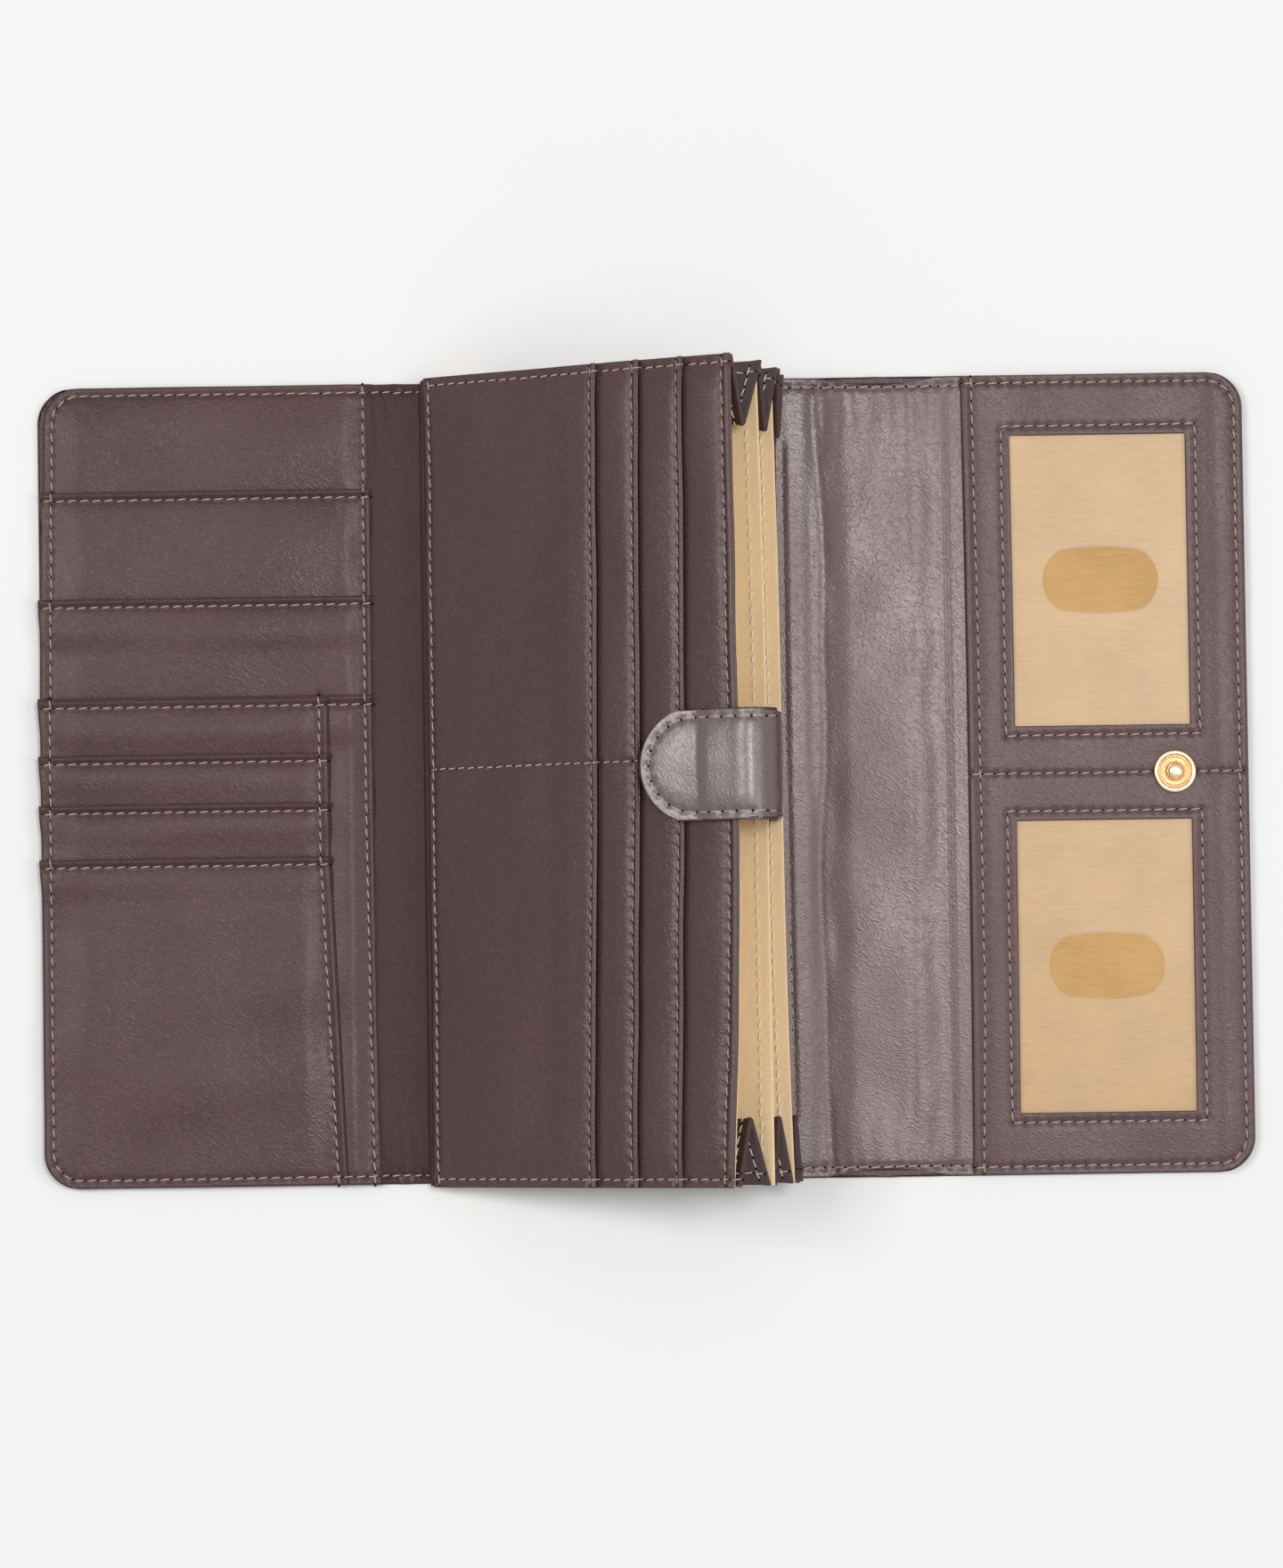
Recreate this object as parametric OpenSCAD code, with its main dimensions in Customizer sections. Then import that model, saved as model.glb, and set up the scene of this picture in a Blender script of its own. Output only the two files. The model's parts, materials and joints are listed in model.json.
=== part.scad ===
// Coupon organizer wallet, laid open on a table with its bellows fanned out.
// X runs from the left cover to the closing flap, Y along the folds, Z up from the table.

/* [Shell] */
// Height of the shell, along the folds
shell_h = 203; // [160:1:240]
// Width of the left cover
cover_w = 86; // [80:1:100]
// Width of the spine between its two creases
spine_w = 10; // [9:0.5:16]
// Width of the back panel between the spine and the band
back_w = 102; // [100:1:120]
// Width of the folding band beside the flap
band_w = 30; // [30:0.5:40]
// Width of the closing flap
flap_w = 78; // [76:1:90]
// Radius of the shell's four outer corners
corner_r = 9; // [4:0.5:14]
// Thickness of the outer leatherette
skin_t = 0.9; // [0.8:0.05:1.1]
// Thickness of the stiffening boards
board_t = 0.6; // [0.4:0.05:0.8]
// How far a board stays inside the edge of its panel
board_inset = 3; // [2:0.5:6]
// Thickness of a lining
lining_t = 0.5; // [0.3:0.05:0.6]

/* [Cover pockets] */
// Thickness of a pocket's leatherette
pocket_t = 0.6; // [0.4:0.05:0.7]
// Thickness of a card slot's leatherette
slot_t = 0.5; // [0.4:0.05:0.6]
// Gap between stacked layers
layer_gap = 0.02; // [0.01:0.01:0.05]
// Step from the top edge to the first coupon pocket
step_a = 26.7; // [20:0.1:32]
// Step from the first coupon pocket to the second
step_b = 27.2; // [20:0.1:32]
// Step from the second coupon pocket to the third
step_c = 25.1; // [20:0.1:30]
// Step from the first card slot to the second
step_2 = 14.6; // [12:0.1:18]
// Step from the second card slot to the third
step_3 = 12.5; // [11:0.1:18]
// Step from the third card slot to the fourth
step_4 = 13.7; // [11:0.1:18]
// Free strip between the card slots and the slip pocket's mouth
slot_margin = 11.2; // [8:0.1:16]
// How far a coupon pocket reaches under the next one
pocket_tuck = 8; // [5:0.5:12]
// How far a card slot reaches under the next one
slot_tuck = 5; // [4:0.5:8]

/* [Bellows] */
// How far the bellows stands out past the shell at each end
bellows_over = 1; // [0:0.5:3]
// Width of the lip between the mouths and the crease beside them
mouth_lip = 7.2; // [6:0.1:12]
// Angle between neighbouring walls as the wallet lies open
fan = 10.667; // [8:0.5:13]
// Thickness of a divider
divider_t = 0.8; // [0.6:0.05:0.9]
// Radius of the rolled seam at the closed end
seam_r = 1.2; // [1:0.05:1.3]
// Length of one leg of a folded gusset
gusset_leg = 18; // [14:0.5:24]
// Thickness of a gusset
gusset_t = 0.6; // [0.4:0.05:0.7]
// Step from the mouth of the front wall to its first slot
slot_step_3 = 15.5; // [13:0.1:17]
// Step from the first slot of the front wall to the second
slot_step_2 = 12.6; // [11:0.1:16]
// Step from the second slot of the front wall to the third
slot_step_1 = 12.5; // [11:0.1:16]

/* [Tab] */
// Width of the closing tab
tab_w = 27; // [24:0.5:34]
// Length of the tab that lies on the front wall
tab_l = 25.8; // [22:0.2:27]
// Thickness of the padded tab
tab_t = 2.6; // [2.4:0.1:3.2]
// Distance of the tab's snap from the mouth
tab_snap_in = 9.5; // [8:0.5:13]
// Thickness of the strap over the mouths
strap_t = 1.2; // [0.8:0.1:1.6]

/* [Windows] */
// Width of a window
window_w = 44.4; // [36:0.2:48]
// Height of a window
window_h = 73.8; // [60:0.2:78]
// Width of the bridge between the two windows
window_bridge = 24; // [18:0.5:30]
// Distance of the windows from the outer edge
window_in = 14.7; // [13.5:0.1:18]
// Width of the window panel
window_panel_w = 71.1; // [68:0.1:72]
// Thickness of the window panel
panel_t = 0.8; // [0.6:0.05:0.9]
// Thickness of the clear windows
vinyl_t = 0.3; // [0.2:0.05:0.4]
// How far a clear window reaches behind the panel
vinyl_lap = 5; // [3:0.5:7]
// Length of the thumb hole
thumb_l = 29; // [22:0.5:34]
// Width of the thumb hole
thumb_w = 16.3; // [12:0.1:20]

/* [Snaps] */
// Radius of the flap's stud
stud_r = 5.4; // [4.8:0.1:6]
// Height of the stud's rim over the panel
stud_rim = 0.8; // [0.6:0.05:0.9]
// Radius of the stud's ball
ball_r = 1.7; // [1.5:0.05:1.8]
// Distance of the stud from the outer edge
stud_in = 18.9; // [17:0.1:22]
// Clearance between a ball and its socket
snap_gap = 0.4; // [0.35:0.05:0.5]
// Radius of the tab's stud
tab_stud_r = 4.3; // [4:0.1:4.6]

/* [Closing] */
// Slope of the cover on the closed wallet
lid_slope = 8.5; // [8.5:0.1:9.5]

/* [Hidden] */

$fn = 48;
leather = "#64555a";
leather_dark = "#4a3f40";
twill = "#e2b982";
clear_vinyl = [0.92, 0.86, 0.76, 0.5];
board_grey = "#b8ada0";
gold = "#d9b979";

// Creases, from left to right
shell_w = cover_w + spine_w + back_w + band_w + flap_w;
left_x = -shell_w / 2;
crease_2 = left_x + cover_w;
crease_1 = crease_2 + spine_w;
crease_a = crease_1 + back_w;
crease_b = crease_a + band_w;
right_x = crease_b + flap_w;
crease_z = skin_t / 2;
crease_gap = 0.15;
skin_end = skin_t / 2 + crease_gap;

// Closing angles of the four creases
spine_close = 90;
cover_close = 90 - lid_slope;
band_close = 90;
flap_close = 90 + lid_slope;

// Levels of the layers over the table
board_z = skin_t;
lining_z = board_z + board_t;
lining_top = lining_z + lining_t;
slip_top = lining_z + pocket_t;
vinyl_z = lining_top;
panel_z = vinyl_z + vinyl_t;
panel_top = panel_z + panel_t;

// A layer that ends beside a crease stays behind the plane that halves the closed fold
cut_room = 0.3;
function cut_back(top, closing) = (top - crease_z) / tan((180 - closing) / 2) + cut_room;

// Coupon pockets and card slots of the cover
half = shell_h / 2;
mouth_a = half - step_a;
mouth_b = mouth_a - step_b;
mouth_c = mouth_b - step_c;
mouth_2 = mouth_c - step_2;
mouth_3 = mouth_2 - step_3;
mouth_4 = mouth_3 - step_4;
end_a = mouth_b - pocket_tuck;
end_b = mouth_c - pocket_tuck;
end_1 = mouth_2 - slot_tuck;
end_2 = mouth_3 - slot_tuck;
end_3 = mouth_4 - slot_tuck;
step_run = 1.5;
pocket_rise = pocket_t + layer_gap;
slot_rise = slot_t + layer_gap;
slot_z = slip_top + pocket_rise;
pocket_right = crease_2 - cut_back(slip_top + pocket_rise + pocket_t, cover_close);
slip_right = crease_2 - cut_back(slip_top, cover_close);
slots_right = slip_right - slot_margin + 1.5;

// Bellows: every wall turns about one rolled seam at the closed end
seam_gap = 0.3;
pivot_x = crease_1 + slip_top - crease_z + seam_r - 0.55;
pivot_z = lining_top + seam_r;
bellows_h = shell_h + 2 * bellows_over;
bellows_half = bellows_h / 2;
bellows_d = crease_a - mouth_lip - pivot_x;
lining_end = crease_a - mouth_lip - 2.5;
wall_start = seam_r + seam_gap;
wall_gap = 0.15;
divider_2_n = -divider_t;
divider_1_n = wall_gap;
front_n = divider_1_n + divider_t + wall_gap;
front_panel_n = front_n + lining_t;
front_top_n = front_panel_n + pocket_t + 0.1;
angle_2 = fan;
angle_1 = 2 * fan;
angle_f = 3 * fan;
ply_t = divider_t * 0.3;
ply_gap = 0.03;

// Slots of the front wall, measured from the closed end
slot_3_r = bellows_d - slot_step_3;
slot_2_r = slot_3_r - slot_step_2;
slot_1_r = slot_2_r - slot_step_1;
slot_2_end = slot_1_r - pocket_tuck;
slot_3_end = slot_2_r - pocket_tuck;

// Tab and strap
tab_n = front_top_n + slot_t + 0.3;
tab_under_t = 0.6;
tab_end_r = bellows_d + 1.3;
tab_mid_n = tab_n + tab_t / 2;
snap_r = bellows_d - tab_snap_in;
tab_ball_r = ball_r - 0.2;
tab_flange_t = 0.5;
tab_washer_r = 3.5;
tab_socket_n = front_top_n + tab_flange_t + 0.15;
tab_socket_top = tab_socket_n + 2.65;
strap_side = 1.7;

// A point of the cross-section at radius r and offset n from a wall at angle a
function at_wall(a, r, n) = [
    pivot_x + r * cos(a) - n * sin(a),
    pivot_z + r * sin(a) + n * cos(a)
];

// Rectangular block between two corners
module slab(x0, x1, half_y, z0, z1) {
    translate([x0, -half_y, z0]) cube([x1 - x0, 2 * half_y, z1 - z0]);
}

module slab_y(x0, x1, y0, y1, z0, z1) {
    translate([x0, y0, z0]) cube([x1 - x0, y1 - y0, z1 - z0]);
}

// Outline of a panel, with its left or right corners rounded
module panel_outline(x0, x1, half_y, round_left, round_right) {
    translate([x0 + round_left, -half_y])
        square([x1 - x0 - round_left - round_right, 2 * half_y]);
    if (round_left > 0) {
        translate([x0, -half_y + round_left]) square([round_left, 2 * (half_y - round_left)]);
        for (side = [-1, 1])
            translate([x0 + round_left, side * (half_y - round_left)]) circle(r = round_left);
    }
    if (round_right > 0) {
        translate([x1 - round_right, -half_y + round_right])
            square([round_right, 2 * (half_y - round_right)]);
        for (side = [-1, 1])
            translate([x1 - round_right, side * (half_y - round_right)]) circle(r = round_right);
    }
}

module panel(x0, x1, half_y, z0, z1, round_left = 0, round_right = 0) {
    translate([0, 0, z0])
        linear_extrude(z1 - z0) panel_outline(x0, x1, half_y, round_left, round_right);
}

// Round edge of a skin on the line of its crease
module crease_round(x) {
    translate([x, 0, crease_z]) rotate([90, 0, 0]) cylinder(h = shell_h, r = crease_z, center = true);
}

// Profile of a sheet that steps up over the end of the sheet before it, and runs on to its mouth
module stepped_profile(start, end_before, mouth, low, rise, t) {
    step = end_before - step_run;
    polygon([
        [start, low],
        [step, low],
        [end_before, low + rise],
        [mouth, low + rise],
        [mouth, low + rise + t],
        [end_before - 0.2, low + rise + t],
        [step - 0.2, low + t],
        [start, low + t]
    ]);
}

// Places a shape drawn flat in the plane of a wall at angle a
module in_wall(a) {
    translate([pivot_x, 0, pivot_z]) rotate([0, -a, 0]) children();
}

module cover_corner_trim() {
    panel(left_x, crease_2, half, 0, 20, corner_r);
}

// Back panel

module back_skin() {
    color(leather) slab(crease_1 + skin_end, crease_a - skin_end, half, 0, skin_t);
}

module back_board() {
    color(board_grey) slab(
        crease_1 + board_inset, crease_a - board_inset - 2, half - board_inset, board_z, lining_z);
}

module back_lining() {
    color(twill) slab(
        crease_1 + cut_back(lining_top, spine_close),
        lining_end,
        half, lining_z, lining_top);
}

module back_lip_lining() {
    color(leather) slab(
        lining_end + layer_gap,
        crease_a - cut_back(lining_top, band_close),
        half, lining_z, lining_top);
}

module bellows_seam() {
    color(leather_dark) translate([pivot_x, 0, pivot_z])
        rotate([90, 0, 0]) cylinder(h = bellows_h, r = seam_r, center = true);
}

// Spine

module spine_skin() {
    color(leather) {
        slab(crease_2 + skin_end, crease_1, half, 0, skin_t);
        crease_round(crease_1);
    }
}

module spine_lining() {
    soft_top = skin_t + lining_t;
    color(leather_dark) slab(
        crease_2 + cut_back(soft_top, cover_close),
        crease_1 - cut_back(soft_top, spine_close),
        half, skin_t, soft_top);
}

// Left cover

module cover_skin() {
    color(leather) difference() {
        union() {
            panel(left_x, crease_2, half, 0, skin_t, corner_r);
            crease_round(crease_2);
        }
        translate([socket_x, 0, -1]) cylinder(h = skin_t + 2, r = stud_r + 0.1);
    }
}

module cover_board() {
    color(board_grey) difference() {
        panel(left_x + board_inset, crease_2 - board_inset, half - board_inset,
            board_z, lining_z, corner_r - board_inset);
        translate([socket_x, 0, 0]) cylinder(h = 5, r = stud_r - 0.3);
    }
}

module slip_pocket() {
    color(leather) panel(left_x, slip_right, half, lining_z, slip_top, corner_r);
}

// Sheet of the cover with its mouth at the top, trimmed to the round corners
module cover_sheet(x1, start, end_before, mouth, low, rise, t) {
    color(leather) intersection() {
        translate([left_x, 0, 0]) rotate([90, 0, 90])
            linear_extrude(x1 - left_x) stepped_profile(start, end_before, mouth, low, rise, t);
        cover_corner_trim();
    }
}

module coupon_pocket_1() {
    color(leather) slab_y(left_x, pocket_right, end_a, mouth_a, slip_top, slip_top + pocket_t);
}

module coupon_pocket_2() {
    cover_sheet(pocket_right, end_b, end_a, mouth_b, slip_top, pocket_rise, pocket_t);
}

module coupon_pocket_3() {
    cover_sheet(pocket_right, -half, end_b, mouth_c, slip_top, pocket_rise, pocket_t);
}

module card_slot_1() {
    cover_sheet(slots_right, end_1, end_b - 0.3, mouth_c, slot_z, pocket_rise, slot_t);
}

module card_slot_2() {
    cover_sheet(slots_right, end_2, end_1, mouth_2, slot_z, slot_rise, slot_t);
}

module card_slot_3() {
    cover_sheet(slots_right, end_3, end_2, mouth_3, slot_z, slot_rise, slot_t);
}

module card_slot_4() {
    cover_sheet(slots_right, -half, end_3, mouth_4, slot_z, slot_rise, slot_t);
}

// The flap's stud meets the cover here once both are closed
lid_run = (crease_a - crease_1) * cos(lid_slope) + (band_w - spine_w) * sin(lid_slope);
stud_x = right_x - stud_in;
socket_x = crease_2 - (lid_run - (stud_x - crease_b));
socket_bore = ball_r + snap_gap;
socket_z0 = 0.05;
socket_t = lining_z - 0.05 - socket_z0;
groove_z = socket_z0 + socket_t * 0.55;
wire_r = 0.18;

// Female snap part: a flange and a body with a groove for its spring, drawn about Z
module socket_shape(flange_r, body_r, bore_r, flange_t, height, groove_h) {
    difference() {
        union() {
            cylinder(h = flange_t, r = flange_r);
            cylinder(h = height, r = body_r);
        }
        translate([0, 0, -1]) cylinder(h = height + 2, r = bore_r);
        translate([0, 0, groove_h - wire_r - 0.06])
            cylinder(h = 2 * wire_r + 0.12, r = bore_r + 2 * wire_r + 0.06);
    }
}

// Ball of a stud on its neck, flat below
module snap_ball(r, centre_h) {
    cylinder(h = centre_h, r = r * 0.75);
    intersection() {
        translate([0, 0, centre_h]) sphere(r = r);
        cylinder(h = centre_h + r + 1, r = r + 1);
    }
}

module spring_ring(bore_r) {
    rotate_extrude() translate([bore_r + wire_r, 0]) circle(r = wire_r, $fn = 16);
}

module cover_socket() {
    color(gold) translate([socket_x, 0, socket_z0]) socket_shape(
        stud_r, stud_r - 0.6, socket_bore, 0.4, socket_t, groove_z - socket_z0);
}

module cover_socket_spring() {
    color("silver") translate([socket_x, 0, groove_z]) spring_ring(socket_bore);
}

// Band

module band_skin() {
    color(leather) {
        slab(crease_a, crease_b - skin_end, half, 0, skin_t);
        crease_round(crease_a);
    }
}

module band_lining() {
    soft_top = skin_t + lining_t;
    color(leather) slab(
        crease_a + cut_back(soft_top, band_close),
        crease_b - cut_back(soft_top, flap_close),
        half, skin_t, soft_top);
}

// Closing flap

panel_left = right_x - window_panel_w;
window_x = right_x - window_in - window_w / 2;
window_y = window_bridge / 2 + window_h / 2;
post_r = 1.2;
post_hole_r = 1.4;
washer_r = 4.5;
washer_t = 0.3;

module flap_skin() {
    color(leather) {
        panel(crease_b, right_x, half, 0, skin_t, 0, corner_r);
        crease_round(crease_b);
    }
}

module flap_board() {
    color(board_grey) difference() {
        panel(crease_b + board_inset, right_x - board_inset, half - board_inset,
            board_z, lining_z, 0, corner_r - board_inset);
        translate([stud_x, 0, 0]) cylinder(h = 5, r = washer_r + 0.2);
    }
}

module flap_lining() {
    color(leather) slab(
        crease_b + cut_back(lining_top, flap_close), panel_left + 3, half, lining_z, lining_top);
}

module window_backing() {
    color(twill) difference() {
        panel(panel_left + 3 + layer_gap, right_x, half, lining_z, lining_top, 0, corner_r);
        translate([stud_x, 0, 0]) cylinder(h = 5, r = post_hole_r);
    }
}

// Clear window with its thumb hole
module window(y) {
    color(clear_vinyl) translate([window_x, y, vinyl_z]) linear_extrude(vinyl_t) difference() {
        square([window_w + 2 * vinyl_lap, window_h + 2 * vinyl_lap], center = true);
        square([thumb_l - thumb_w, thumb_w], center = true);
        for (side = [-1, 1])
            translate([side * (thumb_l - thumb_w) / 2, 0]) circle(r = thumb_w / 2);
    }
}

module window_upper() {
    window(window_y);
}

module window_lower() {
    window(-window_y);
}

module window_panel() {
    color(leather) difference() {
        panel(panel_left, right_x, half, panel_z, panel_top, 0, corner_r);
        for (side = [-1, 1])
            translate([window_x - window_w / 2, side * window_y - window_h / 2, 0])
                cube([window_w, window_h, 20]);
        translate([stud_x, 0, 0]) cylinder(h = 20, r = post_hole_r);
    }
}

module flap_stud() {
    flute_count = 32;
    color(gold) translate([stud_x, 0, panel_top]) {
        difference() {
            cylinder(h = stud_rim, r = stud_r);
            translate([0, 0, 0.35]) cylinder(h = 2, r = stud_r - 1);
        }
        for (i = [0:flute_count - 1])
            rotate(i * 360 / flute_count) translate([2.3, -0.12, 0.3]) cube([1.9, 0.24, 0.2]);
        snap_ball(ball_r, 0.9);
    }
}

module flap_stud_post() {
    color(gold) translate([stud_x, 0, board_z]) {
        cylinder(h = washer_t, r = washer_r);
        cylinder(h = panel_top - board_z, r = post_r);
    }
}

// Dividers: a folded twill sheet over a board, with its fold at the mouth

module divider(a, n) {
    far = bellows_d;
    color(twill) in_wall(a) rotate([90, 0, 0]) linear_extrude(bellows_h, center = true) polygon([
        [wall_start, n],
        [far, n],
        [far, n + divider_t],
        [wall_start, n + divider_t],
        [wall_start, n + divider_t - ply_t],
        [far - ply_t, n + divider_t - ply_t],
        [far - ply_t, n + ply_t],
        [wall_start, n + ply_t]
    ]);
}

module divider_board(a, n) {
    color(board_grey) in_wall(a)
        translate([wall_start + 1, -bellows_half + board_inset, n + ply_t + ply_gap])
            cube([
                bellows_d - wall_start - 1 - ply_t - 0.3,
                bellows_h - 2 * board_inset,
                divider_t - 2 * ply_t - 2 * ply_gap
            ]);
}

module divider_2() {
    divider(angle_2, divider_2_n);
}

module divider_2_board() {
    divider_board(angle_2, divider_2_n);
}

module divider_1() {
    divider(angle_1, divider_1_n);
}

module divider_1_board() {
    divider_board(angle_1, divider_1_n);
}

// Front wall with its stepped slots

module front_wall_lining() {
    color(twill) in_wall(angle_f) difference() {
        slab(wall_start, bellows_d, bellows_half, front_n, front_panel_n);
        translate([snap_r, 0, front_n - 1]) cylinder(h = lining_t + 2, r = tab_washer_r + 0.3);
    }
}

module front_wall_panel() {
    color(leather) in_wall(angle_f) difference() {
        slab(wall_start, bellows_d, bellows_half, front_panel_n, front_top_n);
        translate([snap_r, 0, front_panel_n - 1]) cylinder(h = 3, r = post_hole_r);
    }
}

// Slot of the front wall, in a sheet that steps up over the end of the slot before it
module front_slot(start, end_before, mouth) {
    color(leather) in_wall(angle_f) rotate([90, 0, 0]) linear_extrude(bellows_h, center = true)
        stepped_profile(start, end_before, mouth, front_top_n, slot_rise, slot_t);
}

module front_slot_1() {
    front_slot(wall_start, slot_2_end, slot_1_r);
}

module front_slot_2() {
    front_slot(slot_2_end, slot_3_end, slot_2_r);
}

module front_slot_3() {
    color(leather) in_wall(angle_f)
        slab(slot_3_end, slot_3_r, bellows_half, front_top_n, front_top_n + slot_t);
}

module tab_stud() {
    color(gold) in_wall(angle_f) translate([snap_r, 0, front_top_n]) {
        cylinder(h = tab_flange_t, r = tab_stud_r);
        snap_ball(tab_ball_r, 1.2);
    }
}

module tab_stud_post() {
    color(gold) in_wall(angle_f) translate([snap_r, 0, front_panel_n - washer_t]) {
        cylinder(h = washer_t, r = tab_washer_r);
        cylinder(h = front_top_n - front_panel_n + washer_t, r = post_r);
    }
}

// Closing tab, drawn flat in the plane of the front wall

module tab_outline() {
    round_x = tab_end_r - tab_l + tab_w / 2;
    translate([round_x, -tab_w / 2]) square([tab_end_r - round_x, tab_w]);
    translate([round_x, 0]) circle(r = tab_w / 2);
}

module tab_underside() {
    color(leather_dark) in_wall(angle_f) difference() {
        translate([0, 0, tab_n]) linear_extrude(tab_under_t) intersection() {
            tab_outline();
            translate([0, -tab_w]) square([tab_end_r - tab_t / 2, 2 * tab_w]);
        }
        translate([snap_r, 0, 0]) cylinder(h = 20, r = tab_stud_r + 0.4);
    }
}

module tab_top() {
    dome_h = 0.7;
    dome_rim = 6.5;
    dome_r = (dome_rim * dome_rim + dome_h * dome_h) / (2 * dome_h);
    color(leather) in_wall(angle_f) difference() {
        union() {
            translate([0, 0, tab_n + tab_under_t])
                linear_extrude(tab_t - tab_under_t) intersection() {
                    tab_outline();
                    translate([0, -tab_w]) square([tab_end_r - tab_t / 2, 2 * tab_w]);
                }
            translate([tab_end_r - tab_t / 2, 0, tab_mid_n]) rotate([90, 0, 0])
                cylinder(h = tab_w, r = tab_t / 2 - 0.02, center = true);
            intersection() {
                translate([snap_r, 0, tab_n + tab_t + dome_h - dome_r]) sphere(r = dome_r, $fn = 96);
                translate([snap_r, 0, tab_n + tab_t - 0.5]) cylinder(h = 3, r = dome_rim - 0.1);
            }
        }
        translate([snap_r, 0, 0]) cylinder(h = tab_socket_top + 0.1, r = tab_stud_r + 0.4);
        translate([0, -tab_w, tab_n - 1]) cube([tab_end_r - tab_t / 2, 2 * tab_w, 1 + tab_under_t]);
    }
}

module tab_socket() {
    color(gold) in_wall(angle_f) translate([snap_r, 0, tab_socket_n]) difference() {
        cylinder(h = tab_socket_top - tab_socket_n, r = tab_stud_r + 0.2);
        translate([0, 0, -1]) cylinder(h = 3.2, r = tab_ball_r + snap_gap);
        translate([0, 0, 0.7]) cylinder(h = 2 * wire_r + 0.12, r = tab_ball_r + snap_gap + 2 * wire_r + 0.06);
    }
}

module tab_socket_spring() {
    color("silver") in_wall(angle_f)
        translate([snap_r, 0, tab_socket_n + 0.76 + wire_r]) spring_ring(tab_ball_r + snap_gap);
}

// Strap from the second divider, up over the mouths, to the tab
strap_foot = at_wall(angle_2, bellows_d - 13, strap_t / 2 + 0.02);
strap_turn = at_wall(angle_2, bellows_d - 4, strap_t / 2 + 0.02);
strap_x = at_wall(angle_1, bellows_d, 0)[0] + strap_side;
strap_top = at_wall(angle_f, tab_end_r + 0.15, tab_mid_n);
strap_lift = [cos(angle_f), sin(angle_f)];
function bezier(p, t) =
    pow(1 - t, 3) * p[0] + 3 * pow(1 - t, 2) * t * p[1] + 3 * (1 - t) * t * t * p[2] + pow(t, 3) * p[3];
strap_low = [
    strap_turn,
    strap_turn + 1.8 * [cos(angle_2), sin(angle_2)],
    [strap_x, strap_turn[1] + 1],
    [strap_x, strap_turn[1] + 6]
];
strap_high = [
    [strap_x, strap_top[1] - 9],
    [strap_x, strap_top[1] - 2],
    strap_top + 6 * strap_lift,
    strap_top
];
strap_line = concat(
    [strap_foot],
    [for (i = [0:6]) bezier(strap_low, i / 6)],
    [for (i = [0:12]) bezier(strap_high, i / 12)]
);
function unit(v) = v / norm(v);
function side_of(line, i) =
    let (
        a = line[max(i - 1, 0)],
        b = line[min(i + 1, len(line) - 1)],
        d = unit(b - a)
    ) [-d[1], d[0]];

module tab_strap() {
    left = [for (i = [0:len(strap_line) - 1]) strap_line[i] + strap_t / 2 * side_of(strap_line, i)];
    right = [for (i = [len(strap_line) - 1:-1:0]) strap_line[i] - strap_t / 2 * side_of(strap_line, i)];
    color(leather) rotate([90, 0, 0]) linear_extrude(tab_w, center = true) polygon(concat(left, right));
}

// Gussets: a sheet folded inwards between the ends of two neighbouring walls
gusset_start = 14;
gusset_room = 0.3;
gusset_rings = 7;
gusset_in = 0.4;

// Six corners of the folded sheet at radius r, between a lower and an upper wall
function gusset_ring(r, a_low, n_low, a_high, n_high, side) =
    let (
        low = at_wall(a_low, r, n_low + gusset_room),
        high = at_wall(a_high, r, n_high - gusset_room),
        gap = norm(high - low),
        share = gusset_t / gap,
        outer = bellows_half - gusset_in,
        fold = outer - sqrt(gusset_leg * gusset_leg - gap * gap / 4),
        mid = (low + high) / 2
    ) [
        [high[0], side * outer, high[1]],
        [mid[0], side * fold, mid[1]],
        [low[0], side * outer, low[1]],
        [low[0] + share * (high[0] - low[0]), side * outer, low[1] + share * (high[1] - low[1])],
        [mid[0], side * (fold + 2 * gusset_t * gusset_leg / gap), mid[1]],
        [high[0] - share * (high[0] - low[0]), side * outer, high[1] - share * (high[1] - low[1])]
    ];

module gusset(a_low, n_low, a_high, n_high, side) {
    radii = [for (i = [0:gusset_rings - 1])
        gusset_start + (bellows_d - 0.5 - gusset_start) * i / (gusset_rings - 1)];
    points = [for (r = radii) each gusset_ring(r, a_low, n_low, a_high, n_high, side)];
    walls = [for (i = [0:gusset_rings - 2]) for (k = [0:5])
        let (a = 6 * i + k, b = 6 * i + (k + 1) % 6) each [[a, b, b + 6], [a, b + 6, a + 6]]];
    last = 6 * (gusset_rings - 1);
    caps = [
        [0, 5, 4], [0, 4, 1], [1, 4, 3], [1, 3, 2],
        [last, last + 4, last + 5], [last, last + 1, last + 4],
        [last + 1, last + 3, last + 4], [last + 1, last + 2, last + 3]
    ];
    faces = concat(walls, caps);
    turned = [for (f = faces) [f[0], f[2], f[1]]];
    color(leather_dark) polyhedron(points = points, faces = side > 0 ? turned : faces);
}

module gusset_pair_1(side) {
    gusset(angle_1, divider_1_n + divider_t, angle_f, front_n, side);
}

module gusset_pair_2(side) {
    gusset(angle_2, divider_2_n + divider_t, angle_1, divider_1_n, side);
}

module gusset_pair_3(side) {
    gusset(0, lining_top - pivot_z, angle_2, divider_2_n, side);
}

module gusset_top_1() {
    gusset_pair_1(1);
}

module gusset_top_2() {
    gusset_pair_2(1);
}

module gusset_top_3() {
    gusset_pair_3(1);
}

module gusset_bottom_1() {
    gusset_pair_1(-1);
}

module gusset_bottom_2() {
    gusset_pair_2(-1);
}

module gusset_bottom_3() {
    gusset_pair_3(-1);
}

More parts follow.
